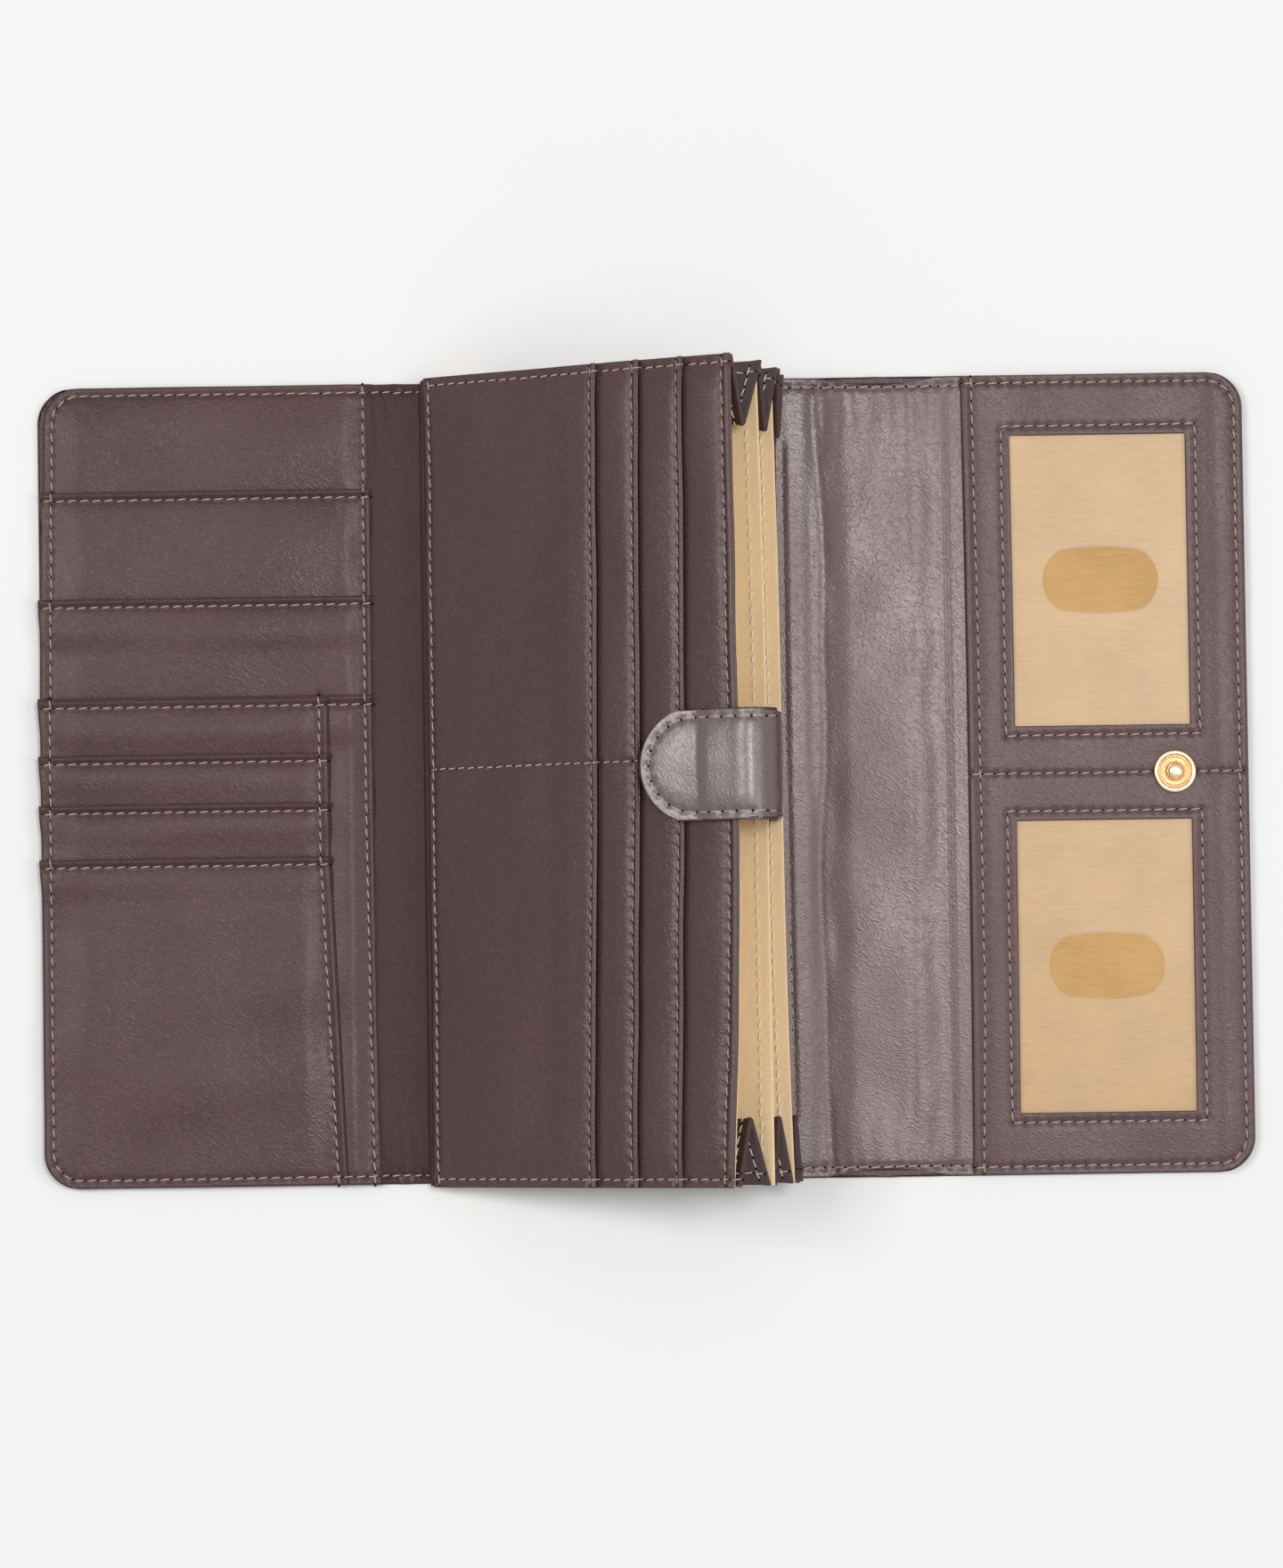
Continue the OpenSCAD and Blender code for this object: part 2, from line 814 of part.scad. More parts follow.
back_skin();
back_board();
back_lining();
back_lip_lining();
bellows_seam();
spine_skin();
spine_lining();
cover_skin();
cover_board();
slip_pocket();
coupon_pocket_1();
coupon_pocket_2();
coupon_pocket_3();
card_slot_1();
card_slot_2();
card_slot_3();
card_slot_4();
cover_socket();
cover_socket_spring();
band_skin();
band_lining();
flap_skin();
flap_board();
flap_lining();
window_backing();
window_upper();
window_lower();
window_panel();
flap_stud();
flap_stud_post();
divider_2();
divider_2_board();
divider_1();
divider_1_board();
front_wall_lining();
front_wall_panel();
front_slot_1();
front_slot_2();
front_slot_3();
tab_stud();
tab_stud_post();
tab_top();
tab_underside();
tab_socket();
tab_socket_spring();
tab_strap();
gusset_top_1();
gusset_top_2();
gusset_top_3();
gusset_bottom_1();
gusset_bottom_2();
gusset_bottom_3();
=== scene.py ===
"""Coupon organizer wallet, lying open: its leatherette, twill, vinyl, thread and snaps."""
import json
import math

import bpy
import numpy as np
from mathutils import Matrix, Vector


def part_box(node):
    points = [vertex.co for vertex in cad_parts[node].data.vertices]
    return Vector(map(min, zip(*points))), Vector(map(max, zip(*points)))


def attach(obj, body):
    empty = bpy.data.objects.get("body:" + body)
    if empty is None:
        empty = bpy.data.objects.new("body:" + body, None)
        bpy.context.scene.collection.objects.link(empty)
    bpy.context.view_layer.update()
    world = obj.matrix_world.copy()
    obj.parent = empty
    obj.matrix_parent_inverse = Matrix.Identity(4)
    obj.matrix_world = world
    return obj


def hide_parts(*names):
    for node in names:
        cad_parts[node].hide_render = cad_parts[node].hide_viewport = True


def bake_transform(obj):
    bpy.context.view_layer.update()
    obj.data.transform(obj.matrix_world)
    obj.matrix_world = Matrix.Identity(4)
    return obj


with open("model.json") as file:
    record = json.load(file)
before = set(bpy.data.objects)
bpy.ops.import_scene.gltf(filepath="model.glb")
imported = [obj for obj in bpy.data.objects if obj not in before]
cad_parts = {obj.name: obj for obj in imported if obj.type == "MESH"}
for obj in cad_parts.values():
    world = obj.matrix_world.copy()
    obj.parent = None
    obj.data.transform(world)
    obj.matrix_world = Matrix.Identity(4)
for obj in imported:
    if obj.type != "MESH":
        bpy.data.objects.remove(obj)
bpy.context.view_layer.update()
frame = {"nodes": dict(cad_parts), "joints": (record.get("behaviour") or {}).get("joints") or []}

# Sizes below are in millimetres. MM turns them into metres.
MM = 0.001


def low(node):
    """Lowest corner of a CAD node, in millimetres."""
    return [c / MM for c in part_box(node)[0]]


def high(node):
    """Highest corner of a CAD node, in millimetres."""
    return [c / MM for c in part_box(node)[1]]


def joint_at(name):
    """Position of a joint, in millimetres."""
    found = [j for j in frame["joints"] if j["name"] == name][0]
    return [c / MM for c in found["pos_m"]]


# Shell, from left to right
half = high("back_skin")[1]
left_x = low("cover_skin")[0]
right_x = high("flap_skin")[0]
crease_2 = joint_at("cover_fold")[0]
crease_1 = joint_at("spine_fold")[0]
crease_a = joint_at("band_fold")[0]
crease_b = joint_at("flap_fold")[0]
skin_top = high("back_skin")[2]
board_top = high("back_board")[2]
lining_top = high("back_lining")[2]
slip_top = high("slip_pocket")[2]
panel_top = high("window_panel")[2]
corner_r = 9.0
bend = 2.6

# Cover pockets
pocket_t = high("coupon_pocket_1")[2] - slip_top
slot_t = 0.5
gap = 0.02
mouth_a = high("coupon_pocket_1")[1]
mouth_b = high("coupon_pocket_2")[1]
mouth_c = high("coupon_pocket_3")[1]
mouth_2 = high("card_slot_2")[1]
mouth_3 = high("card_slot_3")[1]
mouth_4 = high("card_slot_4")[1]
pocket_right = high("coupon_pocket_2")[0]
slots_right = high("card_slot_1")[0]

# Bellows: walls turn about the pivot, and n is the offset from a wall's own plane
pivot_x, _, pivot_z = joint_at("back_compartment")
bellows_half = high("divider_2")[1]
divider_t = 0.8
wall_gap = 0.15
mouth_rise = high("divider_2")[2] - pivot_z
mouth_run = high("divider_2")[0] - pivot_x
fan = math.atan2(mouth_rise, mouth_run - divider_t * mouth_rise / mouth_run)
bellows_d = mouth_rise / math.sin(fan)
front_n = wall_gap * 2 + divider_t
front_lining_t = 0.5
front_panel_n = front_n + front_lining_t
front_top_n = front_panel_n + 0.7

# Tab
tab_w = high("tab_top")[1] * 2
tab_t = 2.6
tab_n = front_top_n + slot_t + 0.3
tab_end_r = bellows_d + 1.3
tab_l = 25.8
snap_r = bellows_d - 9.5
strap_t = 1.2

# Windows and the flap's stud
window_x = (low("window_upper")[0] + high("window_upper")[0]) / 2
window_y = (low("window_upper")[1] + high("window_upper")[1]) / 2
vinyl_lap = 5.0
window_w = high("window_upper")[0] - low("window_upper")[0] - 2 * vinyl_lap
window_h = high("window_upper")[1] - low("window_upper")[1] - 2 * vinyl_lap
panel_left = low("window_panel")[0]
panel_t = panel_top - low("window_panel")[2]
thumb_l = 29.0
thumb_w = 16.3
stud_x = (low("flap_stud")[0] + high("flap_stud")[0]) / 2

# Stitches
pitch = 3.1
seam_in = 2.1

# Grids are finer at the edges of a sheet, and no two lines are closer than a share of the fine step
EDGE_STEPS = (0.35, 0.7, 1.2, 1.9)
CLOSEST = 0.55

# Mesh helpers


def build(name, verts, faces, material, tags=None):
    """Object from points in millimetres and a list of face arrays, each with its own corner count."""
    mesh = bpy.data.meshes.new(name)
    verts = np.asarray(verts, float) * MM
    mesh.vertices.add(len(verts))
    mesh.vertices.foreach_set("co", verts.ravel())
    loops = np.concatenate([f.ravel() for f in faces]).astype(np.int32)
    totals = np.concatenate([np.full(len(f), f.shape[1]) for f in faces]).astype(np.int32)
    starts = np.concatenate([[0], np.cumsum(totals)[:-1]]).astype(np.int32)
    mesh.loops.add(len(loops))
    mesh.loops.foreach_set("vertex_index", loops)
    mesh.polygons.add(len(totals))
    mesh.polygons.foreach_set("loop_start", starts)
    mesh.polygons.foreach_set("loop_total", totals)
    mesh.polygons.foreach_set("use_smooth", np.ones(len(totals), bool))
    materials = material if isinstance(material, (list, tuple)) else [material]
    for one in materials:
        mesh.materials.append(one)
    if tags is not None:
        mesh.polygons.foreach_set("material_index", np.asarray(tags, np.int32))
    mesh.update(calc_edges=True)
    mesh.validate()
    made = bpy.data.objects.new(name, mesh)
    bpy.context.scene.collection.objects.link(made)
    return made


def grid_lines(start, stop, coarse, near=(), fine=0.4, reach=1.4, ends=True):
    """Places from start to stop, closer together near the given places and near both ends."""
    found = list(np.linspace(start, stop, max(2, int(round((stop - start) / coarse)) + 1)))
    for place in near:
        found += [place + k * fine for k in range(-int(reach / fine), int(reach / fine) + 1)]
    if ends:
        found += [start + e for e in EDGE_STEPS] + [stop - e for e in EDGE_STEPS]
    found = sorted(f for f in found if start <= f <= stop)
    kept = [start]
    for f in found:
        if f - kept[-1] > fine * CLOSEST and stop - f > fine * CLOSEST:
            kept.append(f)
    return np.array(kept + [stop])


def ring_quads(ids):
    """Quads between neighbouring rings, where ids is (..., rings, points of a ring)."""
    a = ids[..., :-1, :]
    b = np.roll(a, -1, -1)
    d = ids[..., 1:, :]
    c = np.roll(d, -1, -1)
    return np.stack([a, b, c, d], -1).reshape(-1, 4)


# Orders of a quad's corners: the other way round, and the same way from its second corner
FLIPPED = [0, 3, 2, 1]
SHIFTED = [1, 2, 3, 0]
RIM_ANGLES = np.radians([58, 20, -20, -58])


def sheet(name, material, xs, ys, top, thick, place=None, outline=None, keep=None, rim=0.3, butt=None):
    """Closed sheet with rounded edges over a grid. top gives its upper face, and keep drops cells.

    butt is the x, or several, where the sheet meets the next one with no gap to be seen.
    """
    gx, gy = np.meshgrid(xs, ys)
    plain_x, plain_y = gx.ravel(), gy.ravel()
    if outline:
        gx, gy = outline(gx, gy)
    rows, cols = gx.shape
    ids = np.arange(rows * cols).reshape(rows, cols)
    cells = np.stack([ids[:-1, :-1], ids[:-1, 1:], ids[1:, 1:], ids[1:, :-1]], -1).reshape(-1, 4)
    x, y = gx.ravel(), gy.ravel()
    if keep:
        cells = cells[keep(plain_x[cells].mean(1), plain_y[cells].mean(1))]
    upper = top(x, y)
    lower = upper - (thick(x, y) if callable(thick) else thick)

    edges = np.concatenate([cells[:, [k, (k + 1) % 4]] for k in range(4)])
    count = rows * cols
    forward = edges[:, 0] * count + edges[:, 1]
    backward = edges[:, 1] * count + edges[:, 0]
    border = edges[~np.isin(forward, backward)]
    along = np.stack([x[border[:, 1]] - x[border[:, 0]], y[border[:, 1]] - y[border[:, 0]]], 1)
    along /= np.linalg.norm(along, axis=1, keepdims=True) + 1e-9
    outward = np.stack([along[:, 1], -along[:, 0]], 1)
    normal = np.zeros((count, 2))
    np.add.at(normal, border[:, 0], outward)
    np.add.at(normal, border[:, 1], outward)
    length = np.linalg.norm(normal, axis=1, keepdims=True)
    normal = normal / np.maximum(length, 1e-9)
    on_border = np.unique(border)
    slot_of = np.full(count, -1)
    slot_of[on_border] = np.arange(len(on_border))
    bx, by = x[on_border], y[on_border]
    nx, ny = normal[on_border].T
    middle = (upper[on_border] + lower[on_border]) / 2
    radius = (upper[on_border] - lower[on_border]) / 2
    rim = np.full(len(on_border), rim)
    if butt is not None:
        meets = (np.abs(plain_x[on_border, None] - np.atleast_1d(butt)) < 1e-6).any(1)
        rim[meets] = 0
    x[on_border] -= nx * rim
    y[on_border] -= ny * rim
    layers = [np.stack([x, y, upper], 1), np.stack([x, y, lower], 1)]
    for angle in RIM_ANGLES:
        out = rim * (math.cos(angle) - 1)
        layers.append(np.stack([bx + nx * out, by + ny * out, middle + radius * math.sin(angle)], 1))
    points = np.concatenate(layers)

    faces = [cells, cells[:, ::-1] + count]

    def down_the_rim(corner):
        steps = [2 * count + k * len(on_border) + slot_of[corner] for k in range(len(RIM_ANGLES))]
        return [corner, *steps, corner + count]

    chain = down_the_rim(border[:, 0])
    other = down_the_rim(border[:, 1])
    for k in range(len(chain) - 1):
        faces.append(np.stack([chain[k], chain[k + 1], other[k + 1], other[k]], 1))
    faces = np.concatenate(faces)
    used = np.unique(faces)
    renumber = np.full(len(points), -1)
    renumber[used] = np.arange(len(used))
    points = points[used]
    if place:
        points = np.stack(place(*points.T), 1)
    piece = build(name, points, [renumber[faces]], material)
    if butt is not None:
        flush = np.zeros(len(points), bool)
        flush[renumber[on_border[meets]]] = True
        flush[renumber[on_border[meets] + count]] = True
        pairs = np.empty(len(piece.data.edges) * 2, np.int32)
        piece.data.edges.foreach_get("vertices", pairs)
        sharp = piece.data.attributes.new("sharp_edge", "BOOLEAN", "EDGE")
        sharp.data.foreach_set("value", flush[pairs.reshape(-1, 2)].all(1))
    return piece


def tube(path, radius, sides=6):
    """Points and faces of closed tubes along many paths at once: path is (count, rings, 3)."""
    count, rings, _ = path.shape
    tangent = np.gradient(path, axis=1)
    tangent /= np.linalg.norm(tangent, axis=2, keepdims=True) + 1e-12
    side = np.cross(tangent, np.array([0.13, 0.21, 1.0]))
    side /= np.linalg.norm(side, axis=2, keepdims=True) + 1e-12
    up = np.cross(side, tangent)
    turn = np.arange(sides) * 2 * math.pi / sides
    ring = (side[:, :, None] * np.cos(turn)[:, None] + up[:, :, None] * np.sin(turn)[:, None])
    points = path[:, :, None] + ring * np.asarray(radius)[None, :, None, None]
    ids = np.arange(count * rings * sides).reshape(count, rings, sides)
    caps = np.concatenate([ids[:, 0, ::-1], ids[:, -1]])
    return points.reshape(-1, 3), ring_quads(ids), caps


# Seams


# Half of a stitch's length, and its wobble across the seam
STITCH_REACH = 0.38
STITCH_WOBBLE = 0.05
# Places along a stitch from end to end, with the thread's height over the sheet and its radius
THREAD = ((-1, -0.16, 0.05), (-0.8, 0.06, 0.13), (-0.35, 0.17, 0.175),
          (0.35, 0.17, 0.175), (0.8, 0.06, 0.13), (1, -0.16, 0.05))
# The same along the dark tube painted as a needle hole's shade, as half lengths and radii
HOLE = ((-1, 0.06), (-0.6, 0.24), (0, 0.3), (0.6, 0.24), (1, 0.06))
HOLE_REACH = 0.4
HOLE_SINK = 0.16


class Seam:
    """Line of stitches along a path in a sheet's plane."""

    def __init__(self, points, step=pitch, depth=0.5, width=0.8, slant=0.16, weight=0.92, hole=1.25):
        self.points = np.asarray(points, float)
        self.depth = depth
        self.width = width
        self.slant = slant
        self.weight = weight
        self.hole = hole
        spans = np.diff(self.points, axis=0)
        self.lengths = np.linalg.norm(spans, axis=1)
        self.starts = np.concatenate([[0], np.cumsum(self.lengths)])
        self.count = max(1, int(round(self.starts[-1] / step)))
        self.step = self.starts[-1] / self.count

    def nearest(self, x, y):
        """Distance to the path and place along it."""
        best = np.full(x.shape, 1e9)
        place = np.zeros(x.shape)
        for k, length in enumerate(self.lengths):
            ax, ay = self.points[k]
            dx, dy = (self.points[k + 1] - self.points[k]) / length
            t = np.clip((x - ax) * dx + (y - ay) * dy, 0, length)
            away = np.hypot(x - ax - t * dx, y - ay - t * dy)
            closer = away < best
            best[closer] = away[closer]
            place[closer] = (self.starts[k] + t)[closer]
        return best, place

    def dent(self, x, y):
        """How far the seam pulls the sheet down."""
        away, along = self.nearest(x, y)
        pull = 0.6 + 0.4 * np.cos(2 * math.pi * along / self.step)
        return self.depth * pull * np.exp(-((away / self.width) ** 2))

    def at(self, s):
        """Points and directions at places along the path."""
        s = np.clip(s, 0, self.starts[-1] - 1e-6)
        k = np.searchsorted(self.starts, s, side="right") - 1
        k = np.clip(k, 0, len(self.lengths) - 1)
        way = (self.points[k + 1] - self.points[k]) / self.lengths[k][:, None]
        return self.points[k] + way * (s - self.starts[k])[:, None], way


def dents(seams, x, y):
    """How far several seams pull the sheet down."""
    return sum((seam.dent(x, y) for seam in seams), np.zeros(np.shape(x)))


def stitches(name, seams, surface, place=None, materials=None, seed=1):
    """All threads of some seams, and at their needle holes dark tubes painted as the holes' shade, laid on
    a surface given as height over the plane.
    """
    rng = np.random.default_rng(seed)
    verts, quads, caps, tags_q, tags_c = [], [], [], [], []
    offset = 0

    def lay(rows, radius, tag):
        nonlocal offset
        path = np.stack(rows, 1)
        flat = path.reshape(-1, 3)
        if place:
            flat = np.stack(place(*flat.T), 1)
        points, q, c = tube(flat.reshape(path.shape), np.array(radius))
        verts.append(points)
        quads.append(q + offset)
        caps.append(c + offset)
        tags_q.append(np.full(len(q), tag))
        tags_c.append(np.full(len(c), tag))
        offset += len(points)

    for seam in seams:
        centre = (np.arange(seam.count) + 0.5) * seam.step
        reach = seam.step * STITCH_REACH
        rows = []
        wobble = rng.normal(0, STITCH_WOBBLE, seam.count)
        for t, height, _ in THREAD:
            point, way = seam.at(centre + t * reach)
            across = np.stack([-way[:, 1], way[:, 0]], 1)
            point = point + across * (wobble + t * seam.slant)[:, None]
            rows.append(np.column_stack([point, surface(point[:, 0], point[:, 1]) + height * seam.weight]))
        lay(rows, [radius * seam.weight for *_, radius in THREAD], 0)
        hole, way = seam.at(np.arange(seam.count + 1) * seam.step)
        rows = []
        for t, _ in HOLE:
            point = hole + way * t * HOLE_REACH
            rows.append(np.column_stack([point, surface(point[:, 0], point[:, 1]) - HOLE_SINK]))
        lay(rows, [radius * seam.hole for _, radius in HOLE], 1)
    order = np.concatenate(tags_q + tags_c)
    return build(name, np.concatenate(verts), quads + caps, materials or [thread, needle_hole_shade], order)


def waves(x, y, size, amount, seed, count=9):
    """Gentle unevenness of a soft sheet, the same every run."""
    rng = np.random.default_rng(seed)
    total = np.zeros(np.shape(x))
    for _ in range(count):
        angle = rng.uniform(0, math.pi)
        rate = 2 * math.pi / (size * rng.uniform(0.6, 1.8))
        phase = rng.uniform(0, 2 * math.pi)
        total += np.sin((x * math.cos(angle) + y * math.sin(angle)) * rate + phase)
    return total * amount / math.sqrt(count)


def smooth(t):
    """Soft step from 0 to 1."""
    t = np.clip(t, 0, 1)
    return t * t * (3 - 2 * t)


def bump(d, width):
    """Soft hill over the distance d, 1 high."""
    return np.exp(-((d / width) ** 2))


def pillows(t, lines, most=0.8):
    """Soft swell of each strip between neighbouring lines of stitches."""
    total = np.zeros(np.shape(t))
    for a, b in zip(lines[:-1], lines[1:]):
        share = np.clip((t - min(a, b)) / abs(a - b), 0, 1)
        total += min(most, 0.05 * abs(a - b)) * (4 * share * (1 - share)) ** 0.75
    return total


def arc(cx, cy, r, start, stop, steps=7):
    """Points on an arc, angles in degrees."""
    return [(cx + r * math.cos(math.radians(a)), cy + r * math.sin(math.radians(a)))
            for a in np.linspace(start, stop, steps)]


# Materials


class Look:
    """Material with a Principled shader, and short ways to add nodes."""

    def __init__(self, name, **values):
        self.material = bpy.data.materials.new(name)
        self.material.use_nodes = True
        self.tree = self.material.node_tree
        self.shader = self.tree.nodes["Principled BSDF"]
        self.set(**values)

    def set(self, **values):
        for key, value in values.items():
            self.shader.inputs[key.replace("_", " ")].default_value = value

    def node(self, kind, inputs=None, **settings):
        made = self.tree.nodes.new(kind)
        for key, value in settings.items():
            setattr(made, key, value)
        for key, value in (inputs or {}).items():
            if isinstance(value, bpy.types.NodeSocket):
                self.tree.links.new(value, made.inputs[key])
            else:
                made.inputs[key].default_value = value
        return made

    def link(self, output, key):
        self.tree.links.new(output, self.shader.inputs[key])

    def millimetres(self, stretch=(1, 1, 1), turn=0.0):
        """Object coordinates in millimetres, turned about Z and then stretched."""
        source = self.node("ShaderNodeTexCoord").outputs["Object"]
        turned = self.node("ShaderNodeMapping", {"Vector": source, "Rotation": (0, 0, turn)})
        scale = tuple(1000 / s for s in stretch)
        sized = self.node("ShaderNodeMapping", {"Vector": turned.outputs["Vector"], "Scale": scale})
        return sized.outputs["Vector"]

    def math(self, operation, a, b=0.0):
        return self.node("ShaderNodeMath", {0: a, 1: b}, operation=operation).outputs[0]

    def noise(self, vector, scale, detail=2.0, rough=0.5, distortion=0.0):
        values = {"Vector": vector, "Scale": scale, "Detail": detail, "Roughness": rough,
                  "Distortion": distortion}
        return self.node("ShaderNodeTexNoise", values).outputs["Fac"]

    def ramp(self, factor, stops):
        made = self.node("ShaderNodeValToRGB", {"Fac": factor})
        while len(made.color_ramp.elements) < len(stops):
            made.color_ramp.elements.new(0.5)
        for element, (place, colour) in zip(made.color_ramp.elements, stops):
            element.position = place
            element.color = (*colour, 1)
        return made.outputs["Color"]

    def bump(self, height, strength, distance, before=None):
        values = {"Height": height, "Strength": strength, "Distance": distance}
        if before is not None:
            values["Normal"] = before
        return self.node("ShaderNodeBump", values).outputs["Normal"]


def shade(colour, factor):
    """Darker or lighter colour."""
    return tuple(min(1.0, c * factor) for c in colour)


def leatherette(name, colour, roughness=0.36, turn=0.6, strength=0.55, gloss=0.34, **more):
    """Fine squiggly grain, a little longer one way, with painted shade in the grain's creases and painted
    sheen on its raised parts, and a colour that drifts softly.
    """
    look = Look(name, Specular_IOR_Level=gloss, Specular_Tint=(1, 0.89, 0.875, 1), **more)
    warp = look.node("ShaderNodeTexNoise", {"Vector": look.millimetres(), "Scale": 0.35, "Detail": 1.0})
    bent = look.node("ShaderNodeVectorMath", {0: warp.outputs["Color"], 1: (1.2, 1.2, 1.2)},
                     operation="MULTIPLY")
    space = look.millimetres(stretch=(1.9, 1.0, 1.0), turn=turn)
    moved = look.node("ShaderNodeVectorMath", {0: space, 1: bent.outputs[0]}, operation="ADD")
    grain = look.noise(moved.outputs[0], 1.15, detail=1.0, rough=0.5)
    ridge = look.math("ABSOLUTE", look.math("SUBTRACT", grain, 0.5))
    fine = look.noise(look.millimetres(), 3.2, detail=2.0)
    drift = look.noise(look.millimetres(stretch=(1, 2, 1)), 0.03, detail=3.0)
    # Painted shade and sheen: the grain's creases (ridge near 0) are darkened and its raised parts
    # lightened in the base colour
    shadow = look.ramp(ridge, [(0.0, shade(colour, 0.72)), (0.07, colour), (0.3, shade(colour, 1.16))])
    tone = look.ramp(drift, [(0.3, (0.92, 0.92, 0.93)), (0.7, (1.08, 1.07, 1.06))])
    mix = look.node("ShaderNodeMix", data_type="RGBA", blend_type="MULTIPLY")
    mix.inputs[0].default_value = 1.0
    look.tree.links.new(shadow, mix.inputs[6])
    look.tree.links.new(tone, mix.inputs[7])
    look.link(mix.outputs[2], "Base Color")
    rough = look.node("ShaderNodeMapRange", {"Value": drift, "From Min": 0.3, "From Max": 0.7,
                                             "To Min": roughness - 0.04, "To Max": roughness + 0.05})
    look.link(rough.outputs["Result"], "Roughness")
    first = look.bump(ridge, strength, 0.0003)
    look.link(look.bump(fine, 0.1, 0.0001, first), "Normal")
    return look.material


def twill(name, colour, turn=0.785, size=0.55):
    """Diagonal weave with soft slubs."""
    look = Look(name, Roughness=0.85, Specular_IOR_Level=0.25, Sheen_Weight=0.15)
    space = look.millimetres(turn=turn)
    warp = look.node("ShaderNodeTexWave", {"Vector": space, "Scale": 0.31 / size,
                                           "Distortion": 0.8, "Detail": 1.0, "Detail Scale": 2.0})
    cross_space = look.millimetres(turn=turn + math.pi / 2)
    weft = look.node("ShaderNodeTexWave", {"Vector": cross_space, "Scale": 0.5 / size,
                                           "Distortion": 0.6, "Detail": 1.0, "Detail Scale": 2.0})
    weave = look.math("ADD", warp.outputs["Fac"], look.math("MULTIPLY", weft.outputs["Fac"], 0.5))
    slub = look.noise(look.millimetres(stretch=(1, 4, 1)), 0.4, detail=4.0, rough=0.6)
    level = look.math("ADD", look.math("MULTIPLY", weave, 0.3), look.math("MULTIPLY", slub, 0.55))
    look.link(look.ramp(level, [(0.2, shade(colour, 0.86)), (0.5, colour), (0.75, shade(colour, 1.1))]),
              "Base Color")
    look.link(look.bump(weave, 0.35, 0.0002), "Normal")
    return look.material


def paper_like(name, colour):
    """Tan backing behind the windows, with a faint horizontal weave and specks."""
    look = Look(name, Roughness=0.8, Specular_IOR_Level=0.25)
    weave = look.noise(look.millimetres(stretch=(4.0, 0.5, 1)), 0.9, detail=4.0, rough=0.65)
    cloud = look.noise(look.millimetres(), 0.06, detail=3.0)
    level = look.math("ADD", look.math("MULTIPLY", weave, 0.55), look.math("MULTIPLY", cloud, 0.45))
    look.link(look.ramp(level, [(0.3, shade(colour, 0.84)), (0.5, colour), (0.7, shade(colour, 1.12))]),
              "Base Color")
    look.link(look.bump(weave, 0.2, 0.0001), "Normal")
    return look.material


def clear_film(name):
    """Clear vinyl with a faint haze."""
    look = Look(name, Roughness=0.2, Alpha=0.085, IOR=1.5)
    haze = look.noise(look.millimetres(), 0.05, detail=2.0)
    look.link(look.ramp(haze, [(0.3, (0.88, 0.79, 0.68)), (0.7, (0.98, 0.89, 0.78))]), "Base Color")
    return look.material


def metal(name, colour, roughness):
    """Plated metal with faint turning marks."""
    look = Look(name, Metallic=1.0)
    marks = look.noise(look.millimetres(), 3.0, detail=3.0)
    look.link(look.ramp(marks, [(0.3, shade(colour, 0.96)), (0.7, shade(colour, 1.03))]), "Base Color")
    rough = look.node("ShaderNodeMapRange", {"Value": marks, "To Min": roughness * 0.8,
                                             "To Max": roughness * 1.3})
    look.link(rough.outputs["Result"], "Roughness")
    return look.material


def yarn(name, colour):
    """Sewing thread with a twist that shows as small light and dark bands."""
    look = Look(name, Roughness=0.7, Sheen_Weight=0.2)
    space = look.millimetres(turn=0.6)
    twist = look.node("ShaderNodeTexWave", {"Vector": space, "Scale": 0.9, "Distortion": 1.5})
    look.link(look.ramp(twist.outputs["Fac"], [(0.2, shade(colour, 0.72)), (0.8, shade(colour, 1.15))]),
              "Base Color")
    look.link(look.bump(twist.outputs["Fac"], 0.4, 0.0001), "Normal")
    return look.material


def stiff_board(name, colour):
    """Grey-brown board with short fibres."""
    look = Look(name, Roughness=0.9)
    fibre = look.noise(look.millimetres(), 1.2, detail=5.0, rough=0.7)
    look.link(look.ramp(fibre, [(0.3, shade(colour, 0.85)), (0.7, shade(colour, 1.1))]), "Base Color")
    return look.material


def painted_hole_shade(name, colour):
    """Painted shade inside a needle hole: a near-black colour on the tube that stands for the hole."""
    look = Look(name, Roughness=0.9, Specular_IOR_Level=0.1)
    depth = look.noise(look.millimetres(), 2.0)
    look.link(look.ramp(depth, [(0.3, shade(colour, 0.7)), (0.7, shade(colour, 1.2))]), "Base Color")
    return look.material


brown = (0.0715, 0.0372, 0.0362)
leather = leatherette("leatherette", brown)
leather_flap = leatherette("leatherette_flap", brown, 0.39, gloss=0.5)
# Slightly darker copy of the brown: painted shade for the front wall, which tilts away from the light
leather_wall_shade = leatherette("leatherette_wall_shade", shade(brown, 0.98), 0.33, gloss=0.42)
leather_soft = leatherette("leatherette_soft", shade(brown, 0.93), 0.36, turn=0.5, strength=0.5, gloss=0.9)
leather_tab = leatherette("leatherette_tab", shade(brown, 0.9), 0.36, turn=1.1, strength=0.75, gloss=1.0,
                          Coat_Weight=0.9, Coat_Roughness=0.33)
# Darker copy of the brown: painted shade for the spine's valley and the roll at the bellows' closed end
leather_painted_shade = leatherette("leatherette_painted_shade", shade(brown, 0.70), 0.46, gloss=0.2)
